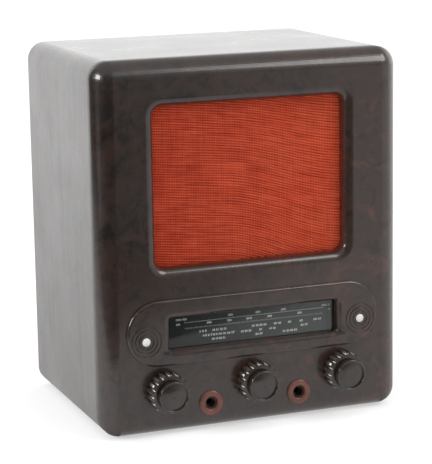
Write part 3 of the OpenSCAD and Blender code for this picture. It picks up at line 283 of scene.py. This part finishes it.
def phenolic(name, tones, red_bias=0.0, rough=0.3, form=None, dull=None):
    """Moulded phenolic: dark ground, marbled patches, faint streaks from the mould and polishing.

    form gives the normal of a shape finer than the mesh, and dull says where the polish has gone.
    """
    ground, mid, red = tones
    m, s = material(name)
    p = s.coords()
    xyz = s.parts(p)
    warp = s.noise(p, 9, 2, 0.5, 0, "Color")
    swirl = s.mix(0.055, p, warp, "ADD")
    big = s.noise(swirl, 42, 5, 0.62, 0.9)
    small = s.noise(swirl, 150, 4, 0.6, 0.6)
    side = s.math("MULTIPLY_ADD", xyz[0], 0.9, red_bias)
    low = s.math("MULTIPLY_ADD", xyz[2], -0.35, 0.055)
    patches = s.math("MULTIPLY_ADD", small, 0.3, s.math("MULTIPLY", big, 0.7))
    # redder to the right and lower down
    mottle = s.math("ADD", patches, s.math("MULTIPLY", s.math("ADD", side, low), 0.45))
    colour = s.ramp(mottle, [(0.34, ground), (0.48, mid), (0.56, mid), (0.68, red)])
    dark = s.ramp(s.noise(swirl, 70, 3, 0.5, 1.2), [(0.34, 0.5), (0.46, 1.0)])
    colour = s.mix(1.0, colour, dark, "MULTIPLY")
    # painted highlight: the crests between the flutes are made paler
    if form is fluted_skirt:
        colour = s.mix(s.math("MULTIPLY", crest_highlight(s, p), 0.8), colour, CREST_HIGHLIGHT)
    streak = s.noise(s.mapped(p, (150, 150, 5)), 1.0, 3, 0.6)
    hair = s.noise(s.mapped(p, (20, 20, 420)), 1.0, 2, 0.5)
    smear = s.noise(p, 16, 3, 0.55)
    roughness = s.math("ADD", s.span(smear, 0.3, 0.7, rough * 0.75, rough * 1.3),
                       s.span(streak, 0.35, 0.7, -0.02, 0.05))
    ripple = s.math("ADD", s.noise(p, 55, 2, 0.5), s.math("MULTIPLY", s.noise(p, 900, 2, 0.5), 0.05))
    ripple = s.math("ADD", ripple, s.math("MULTIPLY", hair, 0.012))
    shaped = form(s, p) if form else s.normal()
    bump = s.bump(ripple, 0.0007, 0.35, shaped)
    shine = 1.0
    if dull:
        worn = dull(s, p)
        roughness = s.math("MULTIPLY_ADD", worn, 0.4, roughness)
        shine = s.math("MULTIPLY_ADD", worn, -0.85, 1.0)
    s.surface(Base_Color=colour, Roughness=roughness, IOR=1.68, Normal=bump,
              Coat_Weight=shine, Coat_Roughness=0.13, Coat_IOR=1.6, Coat_Normal=shaped)
    return m


def metal(name, color, rough=0.3, grain=(900, 60, 60), depth=0.00004, spots=0.25, metallic=1.0, coat=0.0):
    m, s = material(name)
    p = s.coords()
    lines = s.noise(s.mapped(p, grain), 1.0, 3, 0.6)
    stain = s.noise(p, 45, 4, 0.6, 0.3)
    specks = s.noise(p, 420, 3, 0.6)
    shade = s.ramp(stain, [(0.3, tint(color, 1 - spots)), (0.62, color), (0.85, tint(color, 1.08))])
    shade = s.mix(s.span(specks, 0.6, 0.75, 0.0, 0.35), shade, tint(color, 0.55))
    roughness = s.math("ADD", s.span(stain, 0.3, 0.7, rough * 1.25, rough * 0.85),
                       s.span(lines, 0.3, 0.7, -0.04, 0.06))
    s.surface(Base_Color=shade, Metallic=metallic, Roughness=roughness,
              Normal=s.bump(lines, depth, 0.6), Coat_Weight=coat)
    return m


def painted(name, color, rough=0.45, spots=0.12):
    m, s = material(name)
    p = s.coords()
    cloud = s.noise(p, 30, 4, 0.6, 0.4)
    dust = s.noise(p, 300, 3, 0.6)
    shade = s.ramp(cloud, [(0.3, tint(color, 1 - spots)), (0.7, tint(color, 1 + spots * 0.5))])
    shade = s.mix(s.span(dust, 0.55, 0.75, 0, 0.2), shade, tint(color, 0.6))
    s.surface(Base_Color=shade, Roughness=s.span(cloud, 0.3, 0.7, rough * 0.85, rough * 1.2),
              Normal=s.bump(s.noise(p, 1400, 2, 0.5), 0.00003, 0.5))
    return m


def dial_print(name, painted_dark_tone, painted_light_tone):
    """The scale's black coat, with a cloudy bloom and dust, dark at the left and lighter to the right as a
    painted reflection.
    """
    m, s = material(name)
    p = s.coords()
    cloud = s.noise(p, 30, 4, 0.6, 0.4)
    dust = s.noise(p, 300, 3, 0.6)
    # painted reflection: the coat goes from near black at the left to lighter grey at the right
    at = s.math("MULTIPLY_ADD", cloud, 0.3, s.span(s.parts(p)[0], -0.085, 0.085, -0.1, 0.85))
    shade = s.ramp(at, [(0.0, painted_dark_tone), (1.0, painted_light_tone)])
    shade = s.mix(s.span(dust, 0.55, 0.75, 0, 0.2), shade, tint(painted_light_tone, 1.6))
    s.surface(Base_Color=shade, Roughness=s.span(cloud, 0.3, 0.7, 0.42, 0.6), Specular_IOR_Level=0.12,
              Normal=s.bump(s.noise(p, 1400, 2, 0.5), 0.00003, 0.5))
    return m


def fibrous(name, light, dark, stretch=(60, 60, 60), fine=700, rough=0.8, depth=0.0001, sheen=0.0):
    """Card, paper, felt and hardboard: cloudy pulp with fine fibres."""
    m, s = material(name)
    p = s.coords()
    pulp = s.noise(s.mapped(p, stretch), 1.0, 4, 0.65, 0.4)
    fibre = s.noise(s.mapped(p, (fine, fine * 0.35, fine)), 1.0, 4, 0.7, 0.8)
    both = s.math("MULTIPLY_ADD", fibre, 0.55, s.math("MULTIPLY", pulp, 0.45))
    middle = tuple((a + b) / 2 for a, b in zip(light, dark))
    shade = s.ramp(both, [(0.34, dark), (0.5, middle), (0.66, light)])
    s.surface(Base_Color=shade, Roughness=rough, Normal=s.bump(both, depth, 0.8), Sheen_Weight=sheen)
    return m


def wood(name, light, dark):
    m, s = material(name)
    p = s.coords()
    grain = s.noise(s.mapped(p, (14, 30, 160)), 1.0, 5, 0.65, 1.4)
    pores = s.noise(s.mapped(p, (40, 300, 1500)), 1.0, 2, 0.5)
    plies = s.add("ShaderNodeTexWave", wave_type="BANDS", bands_direction="Y")
    s.put(plies.inputs["Vector"], p)
    plies.inputs["Scale"].default_value = 160
    shade = s.ramp(s.math("MULTIPLY_ADD", plies.outputs["Fac"], 0.15, s.math("MULTIPLY", grain, 0.85)),
                   [(0.3, dark), (0.7, light)])
    shade = s.mix(s.span(pores, 0.58, 0.75, 0, 0.4), shade, tint(dark, 0.7))
    s.surface(Base_Color=shade, Roughness=0.62, Normal=s.bump(grain, 0.0001, 0.5))
    return m


def clear(name, tone, lean=0.0, ior=1.5):
    """Clear glass with faint smears; lean tips its reflection back, and shadow rays pass it."""
    m, s = material(name)
    p = s.coords()
    leant = s.bump(s.math("MULTIPLY", s.parts(p)[2], -lean), 1.0) if lean else None
    smear = s.noise(p, 60, 4, 0.6, 0.8)
    roughness = s.span(smear, 0.35, 0.75, 0.015, 0.03)
    shade = s.ramp(smear, [(0.3, tint(tone, 0.97)), (0.7, tone)])
    b = s.surface(Base_Color=shade, Roughness=roughness, IOR=ior, Transmission_Weight=1.0,
                  Normal=s.bump(s.noise(p, 25, 1, 0.4), 0.0002, 0.12, leant))
    out = next(n for n in m.node_tree.nodes if n.type == "OUTPUT_MATERIAL")
    path = s.add("ShaderNodeLightPath")
    through = s.add("ShaderNodeBsdfTransparent")
    through.inputs[0].default_value = (0.86, 0.88, 0.87, 1)
    both = s.add("ShaderNodeMixShader")
    s.put(both.inputs[0], path.outputs["Is Shadow Ray"])
    s.put(both.inputs[1], b.outputs[0])
    s.put(both.inputs[2], through.outputs[0])
    s.put(out.inputs["Surface"], both.outputs[0])
    return m


def moulded(name, color, rough=0.3, spots=0.1, coat=0.3, ior=1.5):
    m, s = material(name)
    p = s.coords()
    cloud = s.noise(p, 70, 4, 0.6, 0.6)
    shade = s.ramp(cloud, [(0.32, tint(color, 1 - spots)), (0.55, color), (0.75, tint(color, 1 + spots))])
    s.surface(Base_Color=shade, Roughness=s.span(s.noise(p, 40, 3, 0.5), 0.3, 0.7, rough * 0.8, rough * 1.3),
              IOR=ior, Coat_Weight=coat, Normal=s.bump(s.noise(p, 800, 2, 0.5), 0.00003, 0.4))
    return m


def woven_cloth(name):
    """Loudspeaker cloth: uneven threads across, sagging towards the lower right, and thin ones upright."""
    m, s = material(name)
    p = s.coords()
    xyz = s.parts(p)
    x, z = xyz[0], xyz[2]
    rib_pitch, fine_rib_pitch, warp_pitch = 0.0024, 0.0013, 0.00172
    lean = s.math("MULTIPLY", s.span(x, -0.02, 0.095, 0, 1, True), s.span(z, 0.32, 0.17, 0.006, 0.022))
    drift = s.noise(s.mapped(p, (9, 9, 30)), 1.0, 3, 0.55)
    wander = s.math("MULTIPLY", s.math("SUBTRACT", drift, 0.5), 0.0035)
    across = s.math("ADD", s.math("MULTIPLY_ADD", x, 0.10, z), s.math("ADD", lean, wander))
    thread = s.join(x, 0.0, across)

    def wave(along, pitch):
        sine = s.math("SINE", s.math("MULTIPLY", along, 2 * math.pi / pitch))
        return s.math("MULTIPLY_ADD", sine, 0.5, 0.5)

    rib, rib2, warp = wave(across, rib_pitch), wave(across, fine_rib_pitch), wave(x, warp_pitch)
    slub = s.noise(s.mapped(thread, (24, 1, 620)), 1.0, 3, 0.6)
    slub2 = s.noise(s.mapped(thread, (60, 1, 260)), 1.0, 2, 0.6)
    pick = s.noise(s.mapped(thread, (330, 1, 25)), 1.0, 2, 0.5)
    weave = s.math("ADD", s.math("MULTIPLY", rib, 0.20), s.math("MULTIPLY", rib2, 0.06))
    weave = s.math("ADD", weave, s.math("MULTIPLY_ADD", slub, 0.40, s.math("MULTIPLY", slub2, 0.16)))
    weave = s.math("ADD", weave, s.math("MULTIPLY", s.math("MULTIPLY", warp, pick), 0.22))
    cloud = s.noise(p, 24, 4, 0.6)
    weave = s.math("ADD", weave, s.math("MULTIPLY", s.math("SUBTRACT", cloud, 0.5), 0.14))
    # paler towards the right: painted light
    weave = s.math("ADD", weave, s.span(x, -0.09, 0.09, -0.03, 0.045))
    shade = s.ramp(weave, [(0.34, (0.26, 0.022, 0.010)), (0.53, (0.55, 0.073, 0.032)),
                           (0.70, (0.74, 0.130, 0.060))])
    hue = s.noise(p, 30, 3, 0.6)
    shade = s.mix(s.span(hue, 0.4, 0.65, 0, 0.3), shade, s.mix(1.0, shade, (1.08, 0.75, 0.66), "MULTIPLY"))
    s.surface(Base_Color=shade, Roughness=0.8, Specular_IOR_Level=0.12,
              Normal=s.bump(weave, 0.0009, 0.6))
    return m


slot_material = {
    "bakelite": phenolic("bakelite", MOULDING, form=soft_edges),
    "knob_bakelite": phenolic("knob_bakelite", KNOB_MOULDING, -0.1, 0.2, form=fluted_skirt),
    "felt": fibrous("felt", (0.10, 0.10, 0.095), (0.03, 0.03, 0.03), (90, 90, 90), 900, 0.95, 0.0003, 0.4),
    "fibreboard": fibrous("fibreboard", (0.20, 0.115, 0.060), (0.105, 0.056, 0.028), (26, 26, 26), 500, 0.78),
    "screw_steel": metal("screw_steel", (0.34, 0.32, 0.29), 0.34),
    "white_plastic": moulded("white_plastic", (0.90, 0.89, 0.87), 0.22, 0.04),
    "clear_glass": clear("clear_glass", GLASS_TINT),
    "zinc_sheet": metal("zinc_sheet", (0.40, 0.39, 0.36), 0.42, (35, 35, 35), 0.00005, 0.3),
    "scale_print": dial_print("scale_print", (0.004, 0.0052, 0.0052), (0.078, 0.080, 0.077)),
    "brass": metal("brass", (0.55, 0.38, 0.14), 0.28),
    "lamp_glass": clear("lamp_glass", (0.98, 0.95, 0.86)),
    "bright_steel": metal("bright_steel", (0.56, 0.56, 0.56), 0.17, (200, 900, 200)),
    "cord": fibrous("cord", (0.62, 0.54, 0.33), (0.34, 0.28, 0.16), (300, 300, 300), 2500, 0.85),
    "pointer_red": painted("pointer_red", (0.055, 0.05, 0.045), 0.4),
    "aluminium": metal("aluminium", (0.58, 0.58, 0.57), 0.33, (30, 30, 700)),
    "ceramic": moulded("ceramic", (0.74, 0.69, 0.58), 0.2, 0.05, 0.6),
    "red_phenolic": moulded("red_phenolic", (0.205, 0.078, 0.057), 0.34, 0.25, 0.25, 1.55),
    "dark_phenolic": moulded("dark_phenolic", (0.030, 0.019, 0.013), 0.38, 0.3, 0.2, 1.55),
    "speaker_cloth": woven_cloth("speaker_cloth"),
    "plywood": wood("plywood", (0.48, 0.32, 0.17), (0.27, 0.16, 0.075)),
    "gasket_card": fibrous("gasket_card", (0.34, 0.25, 0.13), (0.19, 0.13, 0.065)),
    "basket_paint": painted("basket_paint", (0.085, 0.09, 0.095), 0.42),
    "cone_paper": fibrous("cone_paper", (0.045, 0.04, 0.034), (0.016, 0.014, 0.012),
                          (110, 110, 110), 900, 0.9),
    "copper_wire": metal("copper_wire", (0.55, 0.22, 0.10), 0.3, (60, 1800, 60), 0.00008),
    "magnet_steel": metal("magnet_steel", (0.09, 0.095, 0.10), 0.5, (80, 80, 80), 0.0001, 0.4, 0.85),
    "core_steel": metal("core_steel", (0.12, 0.11, 0.095), 0.5, (40, 1900, 40), 0.00015, 0.4, 0.8),
    "winding_paper": fibrous("winding_paper", (0.44, 0.26, 0.09), (0.25, 0.14, 0.045),
                             (40, 40, 40), 600, 0.5),
    "chassis_paint": painted("chassis_paint", (0.23, 0.24, 0.225), 0.38, 0.18),
    "rubber": moulded("rubber", (0.012, 0.012, 0.012), 0.6, 0.3, 0.0),
}

for part in frame["record"]["subparts"]:
    o = nodes[part["node"]]
    o.data.materials.clear()
    o.data.materials.append(slot_material[part["material_slot"]])
for name, own in (
    ("dial_glass", clear("dial_glass", GLASS_TINT, lean=0.034, ior=1.68)),
    ("dial_escutcheon", phenolic("escutcheon_bakelite", MOULDING, dull=dull_lip)),
    ("socket_bushes", metal("dark_bush", (0.13, 0.11, 0.09), 0.3, (400, 60, 400), 0.0001, 0.5, 0.9)),
):
    nodes[name].data.materials[0] = own


# Pieces
def new_piece(name, mesh, slot, body="case"):
    o = bpy.data.objects.new(name, mesh)
    bpy.context.scene.collection.objects.link(o)
    mesh.materials.clear()
    mesh.materials.append(slot_material[slot])
    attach(o, body)
    return o


def speaker_sheet():
    """The loudspeaker cloth, drawn tight over the board: a sheet with slight, slanting pull lines."""
    low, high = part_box("speaker_cloth")
    w, h = high.x - low.x, high.z - low.z
    nx, nz = 220, 180
    pull_depth, hem = 0.00009, 1 / 14
    mid_y = (low.y + high.y) / 2
    bm = bmesh.new()
    rows = []
    for j in range(nz + 1):
        row = []
        for i in range(nx + 1):
            u, v = i / nx, j / nz
            x, z = low.x + w * u, low.z + h * v
            hold = min(1.0, min(u, 1 - u, v, 1 - v) / hem)
            pull = math.sin(38 * u + 21 * v + 1.3 * math.sin(5 * v)) * math.sin(math.pi * u) ** 2
            y = mid_y + pull_depth * hold * pull * math.sin(math.pi * v)
            row.append(bm.verts.new((x, y, z)))
        rows.append(row)
    for j in range(nz):
        for i in range(nx):
            f = bm.faces.new((rows[j][i], rows[j][i + 1], rows[j + 1][i + 1], rows[j + 1][i]))
            f.smooth = True
    mesh = bpy.data.meshes.new("speaker_cloth_sheet")
    bm.to_mesh(mesh)
    bm.free()
    o = new_piece("speaker_cloth_sheet", mesh, "speaker_cloth")
    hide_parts("speaker_cloth")


speaker_sheet()


# The printing on the scale: lines, ticks and plain numbers, in mm on the plate's face
PRINT_BACK, PRINT_MID, PRINT_FRONT = 12.0, 11.96, 11.93
LINE_LEFT, LINE_RIGHT = -68, 78
LINE_LOW, LINE_TOP = 104.6, 104.95
BROAD_LOW, BROAD_TOP = 98.4, 99.5
HALF_TICK = 0.11
TALLER, NARROWER = 1.3, 0.9
INK_HALF_T, INK_SPREAD = 0.00003, 0.00017


def ink(name, worn_tone, tone):
    m, s = material(name)
    p = s.coords()
    worn = s.noise(p, 900, 3, 0.6)
    shade = s.ramp(worn, [(0.32, worn_tone), (0.55, tone)])
    s.surface(Base_Color=shade, Roughness=0.6, Normal=s.bump(worn, 0.00002, 0.5))
    return m


def ink_bar(bm, x0, x1, z0, z1):
    corners = ((x0, z0), (x1, z0), (x1, z1), (x0, z1))
    pts = [place(x, d, z) for d in (PRINT_FRONT, PRINT_BACK) for x, z in corners]
    v = [bm.verts.new(p) for p in pts]
    for f in ((0, 1, 2, 3), (4, 7, 6, 5), (0, 4, 5, 1), (1, 5, 6, 2), (2, 6, 7, 3), (3, 7, 4, 0)):
        bm.faces.new([v[k] for k in f])


def ink_text(words, x, z, size, wide):
    """Plain numbers as flat raised ink, with their middle at x and z."""
    c = bpy.data.curves.new("ink", "FONT")
    c.body = words
    c.size = size / 1000
    c.align_x = "CENTER"
    c.align_y = "CENTER"
    c.extrude = INK_HALF_T
    c.offset = INK_SPREAD
    c.resolution_u = 2
    o = bpy.data.objects.new("ink", c)
    bpy.context.scene.collection.objects.link(o)
    bpy.context.view_layer.update()
    mesh = bpy.data.meshes.new_from_object(o.evaluated_get(bpy.context.evaluated_depsgraph_get()))
    bpy.data.objects.remove(o)
    at = Matrix.Translation(place(x, PRINT_MID, z)) @ Matrix.Rotation(math.pi / 2, 4, "X")
    mesh.transform(at @ Matrix.Diagonal((wide, 1, 1, 1)))
    return mesh


def scale_printing():
    bm = bmesh.new()
    # upper thin line with its ticks, then the short ticks of the lower broad line
    ink_bar(bm, LINE_LEFT, LINE_RIGHT, LINE_LOW, LINE_TOP)
    upper_steps, lower_steps, inset, short_tick = 58, 29, 2, 0.7
    for k in range(upper_steps + 1):
        x = LINE_LEFT + (LINE_RIGHT - LINE_LEFT) * k / upper_steps
        tall = 1.5 if k % 10 == 0 else (1.0 if k % 5 == 0 else 0.6)
        ink_bar(bm, x - HALF_TICK, x + HALF_TICK, LINE_TOP, LINE_TOP + tall)
    for k in range(lower_steps + 1):
        x = LINE_LEFT + inset + (LINE_RIGHT - LINE_LEFT - 2 * inset) * k / lower_steps
        ink_bar(bm, x - HALF_TICK, x + HALF_TICK, BROAD_TOP, BROAD_TOP + short_tick)
    for words, x, z, size, wide in (
        ("1500 950", -71.5, 108.2, 2.1, 1.25), ("100", -74.8, 103.6, 2.0, 1.2),
        ("550", -20.2, 107.7, 2.1, 1.35), ("400", 8.5, 107.5, 2.1, 1.5), ("300", 35.8, 107.3, 2.1, 1.4),
        ("900", -42.5, 102.4, 2.0, 1.45), ("750", -21.5, 102.3, 2.0, 1.4), ("600", -0.8, 102.2, 2.0, 1.7),
        ("500", 21.0, 102.1, 2.0, 1.4), ("350", 53.0, 102.0, 2.0, 1.4),
        ("200 250", 81.2, 107.0, 2.0, 1.1), ("30", 84.5, 102.4, 2.0, 1.5),
        ("1 2 3", -49.2, 94.6, 2.1, 1.55), ("10 11 12 13", -32.2, 94.5, 2.1, 1.25),
        ("31 32 33 34", 9.8, 94.2, 2.1, 1.3), ("45 46", 29.2, 94.1, 2.1, 1.45), ("50", 42.2, 94.0, 2.1, 1.4),
        ("55", 54.8, 93.9, 2.1, 1.5), ("60 61", 72.2, 93.8, 2.1, 1.6),
        ("4 5 6 7 8 9 14 15 16 17", -33, 90.0, 2.1, 1.42), ("24 25 26", -4, 89.8, 2.1, 1.25),
        ("35", 11.2, 89.7, 2.1, 1.2), ("41 42", 23.8, 89.6, 2.1, 1.2), ("56 57", 58, 89.5, 2.1, 1.4),
        ("18 19 20 21", -33, 85.7, 2.1, 1.22), ("36 37", 9.5, 85.5, 2.1, 1.4),
        ("51 52 53 54", 42.5, 85.3, 2.1, 1.28),
    ):
        bm.from_mesh(ink_text(words, x, z, size * TALLER, wide * NARROWER))
    mesh = bpy.data.meshes.new("scale_printing")
    bright = len(bm.faces)
    ink_bar(bm, LINE_LEFT, LINE_RIGHT, BROAD_LOW, BROAD_TOP)
    bm.to_mesh(mesh)
    bm.free()
    new_piece("scale_printing", mesh, "scale_print")
    mesh.materials.clear()
    mesh.materials.append(ink("scale_ink", (0.72, 0.72, 0.68), (0.95, 0.95, 0.92)))
    mesh.materials.append(ink("faded_ink", (0.09, 0.09, 0.09), (0.27, 0.28, 0.27)))
    for f in list(mesh.polygons)[bright:]:
        f.material_index = 1


scale_printing()


# Studio
FLOOR_HALF = 6
LIGHT_AIM = Vector((0.0, -0.1, 0.2))
LIGHT_AWAY = 2.5
# name, direction from the aim, side in metres, power in watts
SOFT_BOXES = (("left_box", (-0.923, -0.068, 0.378), 0.8, 20.0),
              ("right_box", (0.60, -0.48, 0.66), 1.35, 15.0))
# the line that runs back from the set's front left edge, and the one that bounds the sheet ahead of it
LEFT_SLOPE, LEFT_START = 0.87, 0.0866
AHEAD_SLOPE, AHEAD_START = 0.6, 0.4972


def floor_in_gloss(s, p):
    """What the gloss of the set sees of the floor: a bright sheet under it, a dark room ahead to the left."""
    x, y, z = s.parts(p)
    ahead = s.math("MULTIPLY", y, -1.0)
    past = s.math("SUBTRACT", ahead, s.math("MULTIPLY_ADD", x, AHEAD_SLOPE, AHEAD_START))
    ratio = s.math("DIVIDE", x, s.math("MAXIMUM", ahead, 0.05))
    room = s.ramp(ratio, [(0.0, 0.04), (0.15, 0.06), (0.28, 0.13), (0.36, 0.26), (0.44, 0.36),
                          (0.54, 0.43), (1.0, 0.5)])
    seen = s.mix(s.span(past, -0.012, 0.012, 0.0, 1.0, True), (0.5, 0.5, 0.5), room)
    behind = s.span(y, -0.1, 1.7, 0.66, 1.0)
    seen = s.mix(s.span(y, -0.16, 0.1, 0.0, 1.0, True), seen, behind)
    # to the left of a line from the front left edge the sheet fades, and a pale strip lies far out
    turned = s.math("ADD", s.math("ADD", x, CASE_HALF_W),
                    s.math("MULTIPLY_ADD", y, LEFT_SLOPE, LEFT_START))
    outside = s.math("MULTIPLY", s.span(turned, -0.02, 0.02, 1.0, 0.0, True),
                     s.span(x, -0.20, -0.16, 1.0, 0.0))
    strip = s.span(s.math("ABSOLUTE", s.math("ADD", y, 0.12)), 0.10, 0.22, 0.45, 0.0, True)
    strip = s.math("MULTIPLY", strip, s.span(x, -1.3, -1.1, 1.0, 0.0))
    fade = s.mix(s.span(past, -0.03, 0.03, 0.0, 1.0, True), s.span(x, -1.6, -0.6, 0.06, 0.64),
                 (0.05, 0.05, 0.05))
    return s.mix(outside, seen, s.math("MAXIMUM", fade, strip))


def make_floor():
    """A pale floor that takes the shadow, white to the camera and shaped for mirror rays."""
    m, s = material("floor")
    p = s.add("ShaderNodeNewGeometry").outputs["Position"]
    base = s.ramp(s.noise(p, 3, 2, 0.5), [(0.3, 0.80), (0.7, 0.82)])
    diffuse = s.add("ShaderNodeBsdfDiffuse")
    s.put(diffuse.inputs["Color"], base)
    path = s.add("ShaderNodeLightPath")
    mirrored = s.math("MAXIMUM", path.outputs["Is Glossy Ray"], path.outputs["Is Transmission Ray"])
    glow = s.math("MAXIMUM", s.math("MULTIPLY", path.outputs["Is Camera Ray"], 0.48),
                  s.math("MULTIPLY", mirrored, floor_in_gloss(s, p)))
    emit = s.add("ShaderNodeEmission")
    emit.inputs["Color"].default_value = (1, 1, 1, 1)
    s.put(emit.inputs["Strength"], glow)
    black = s.add("ShaderNodeBsdfDiffuse")
    black.inputs["Color"].default_value = (0, 0, 0, 1)
    lit = s.add("ShaderNodeMixShader")
    for k, v in enumerate((mirrored, diffuse.outputs[0], black.outputs[0])):
        s.put(lit.inputs[k], v)
    both = s.add("ShaderNodeAddShader")
    s.put(both.inputs[0], lit.outputs[0])
    s.put(both.inputs[1], emit.outputs[0])
    out = s.add("ShaderNodeOutputMaterial")
    s.put(out.inputs["Surface"], both.outputs[0])
    mesh = bpy.data.meshes.new("floor")
    corners = [(i * FLOOR_HALF, j * FLOOR_HALF, 0) for i, j in ((-1, -1), (1, -1), (1, 1), (-1, 1))]
    mesh.from_pydata(corners, [], [(0, 1, 2, 3)])
    mesh.materials.append(m)
    floor = bpy.data.objects.new("floor", mesh)
    bpy.context.scene.collection.objects.link(floor)


def make_world():
    """Even soft light; in the gloss, white behind the set, dim above and to the right."""
    world = bpy.data.worlds.new("studio")
    bpy.context.scene.world = world
    world.use_nodes = True
    s = Shade(world.node_tree)
    x, y, z = s.parts(s.coords("Generated"))
    path = s.add("ShaderNodeLightPath")
    turned = s.span(s.math("MULTIPLY_ADD", y, LEFT_SLOPE, x), -0.03, 0.03, 0.10, 1.0, True)
    back = s.math("MULTIPLY", s.span(y, -0.35, 0.25, 0.0, 1.08, True), turned)
    back = s.math("MULTIPLY", back, s.span(z, 0.46, 0.84, 1.0, 0.36))
    top = s.span(z, 0.35, 0.85, 0.0, 0.38, True)
    right = s.span(x, 0.1, 0.7, 0.08, 0.4, True)
    seen = s.math("MAXIMUM", back, s.math("MAXIMUM", top, right))
    glossy = path.outputs["Is Glossy Ray"]
    eye = s.math("MAXIMUM", path.outputs["Is Camera Ray"], path.outputs["Is Transmission Ray"])
    soft = s.math("SUBTRACT", 1.0, s.math("MAXIMUM", eye, glossy))
    strength = s.math("ADD", s.math("MULTIPLY", glossy, seen), s.math("MULTIPLY", soft, 0.72))
    strength = s.math("ADD", strength, eye)
    bg = s.add("ShaderNodeBackground")
    bg.inputs["Color"].default_value = (1, 1, 1, 1)
    s.put(bg.inputs["Strength"], strength)
    out = s.add("ShaderNodeOutputWorld")
    s.put(out.inputs["Surface"], bg.outputs[0])


def make_lights():
    for name, way, side, power in SOFT_BOXES:
        data = bpy.data.lights.new(name, "AREA")
        data.shape = "RECTANGLE"
        data.size = data.size_y = side
        data.energy = power
        o = bpy.data.objects.new(name, data)
        o.location = LIGHT_AIM + Vector(way).normalized() * LIGHT_AWAY
        o.rotation_euler = (LIGHT_AIM - o.location).to_track_quat("-Z", "Y").to_euler()
        bpy.context.scene.collection.objects.link(o)


make_floor()
make_world()
make_lights()

bpy.context.scene.view_settings.view_transform = "Standard"
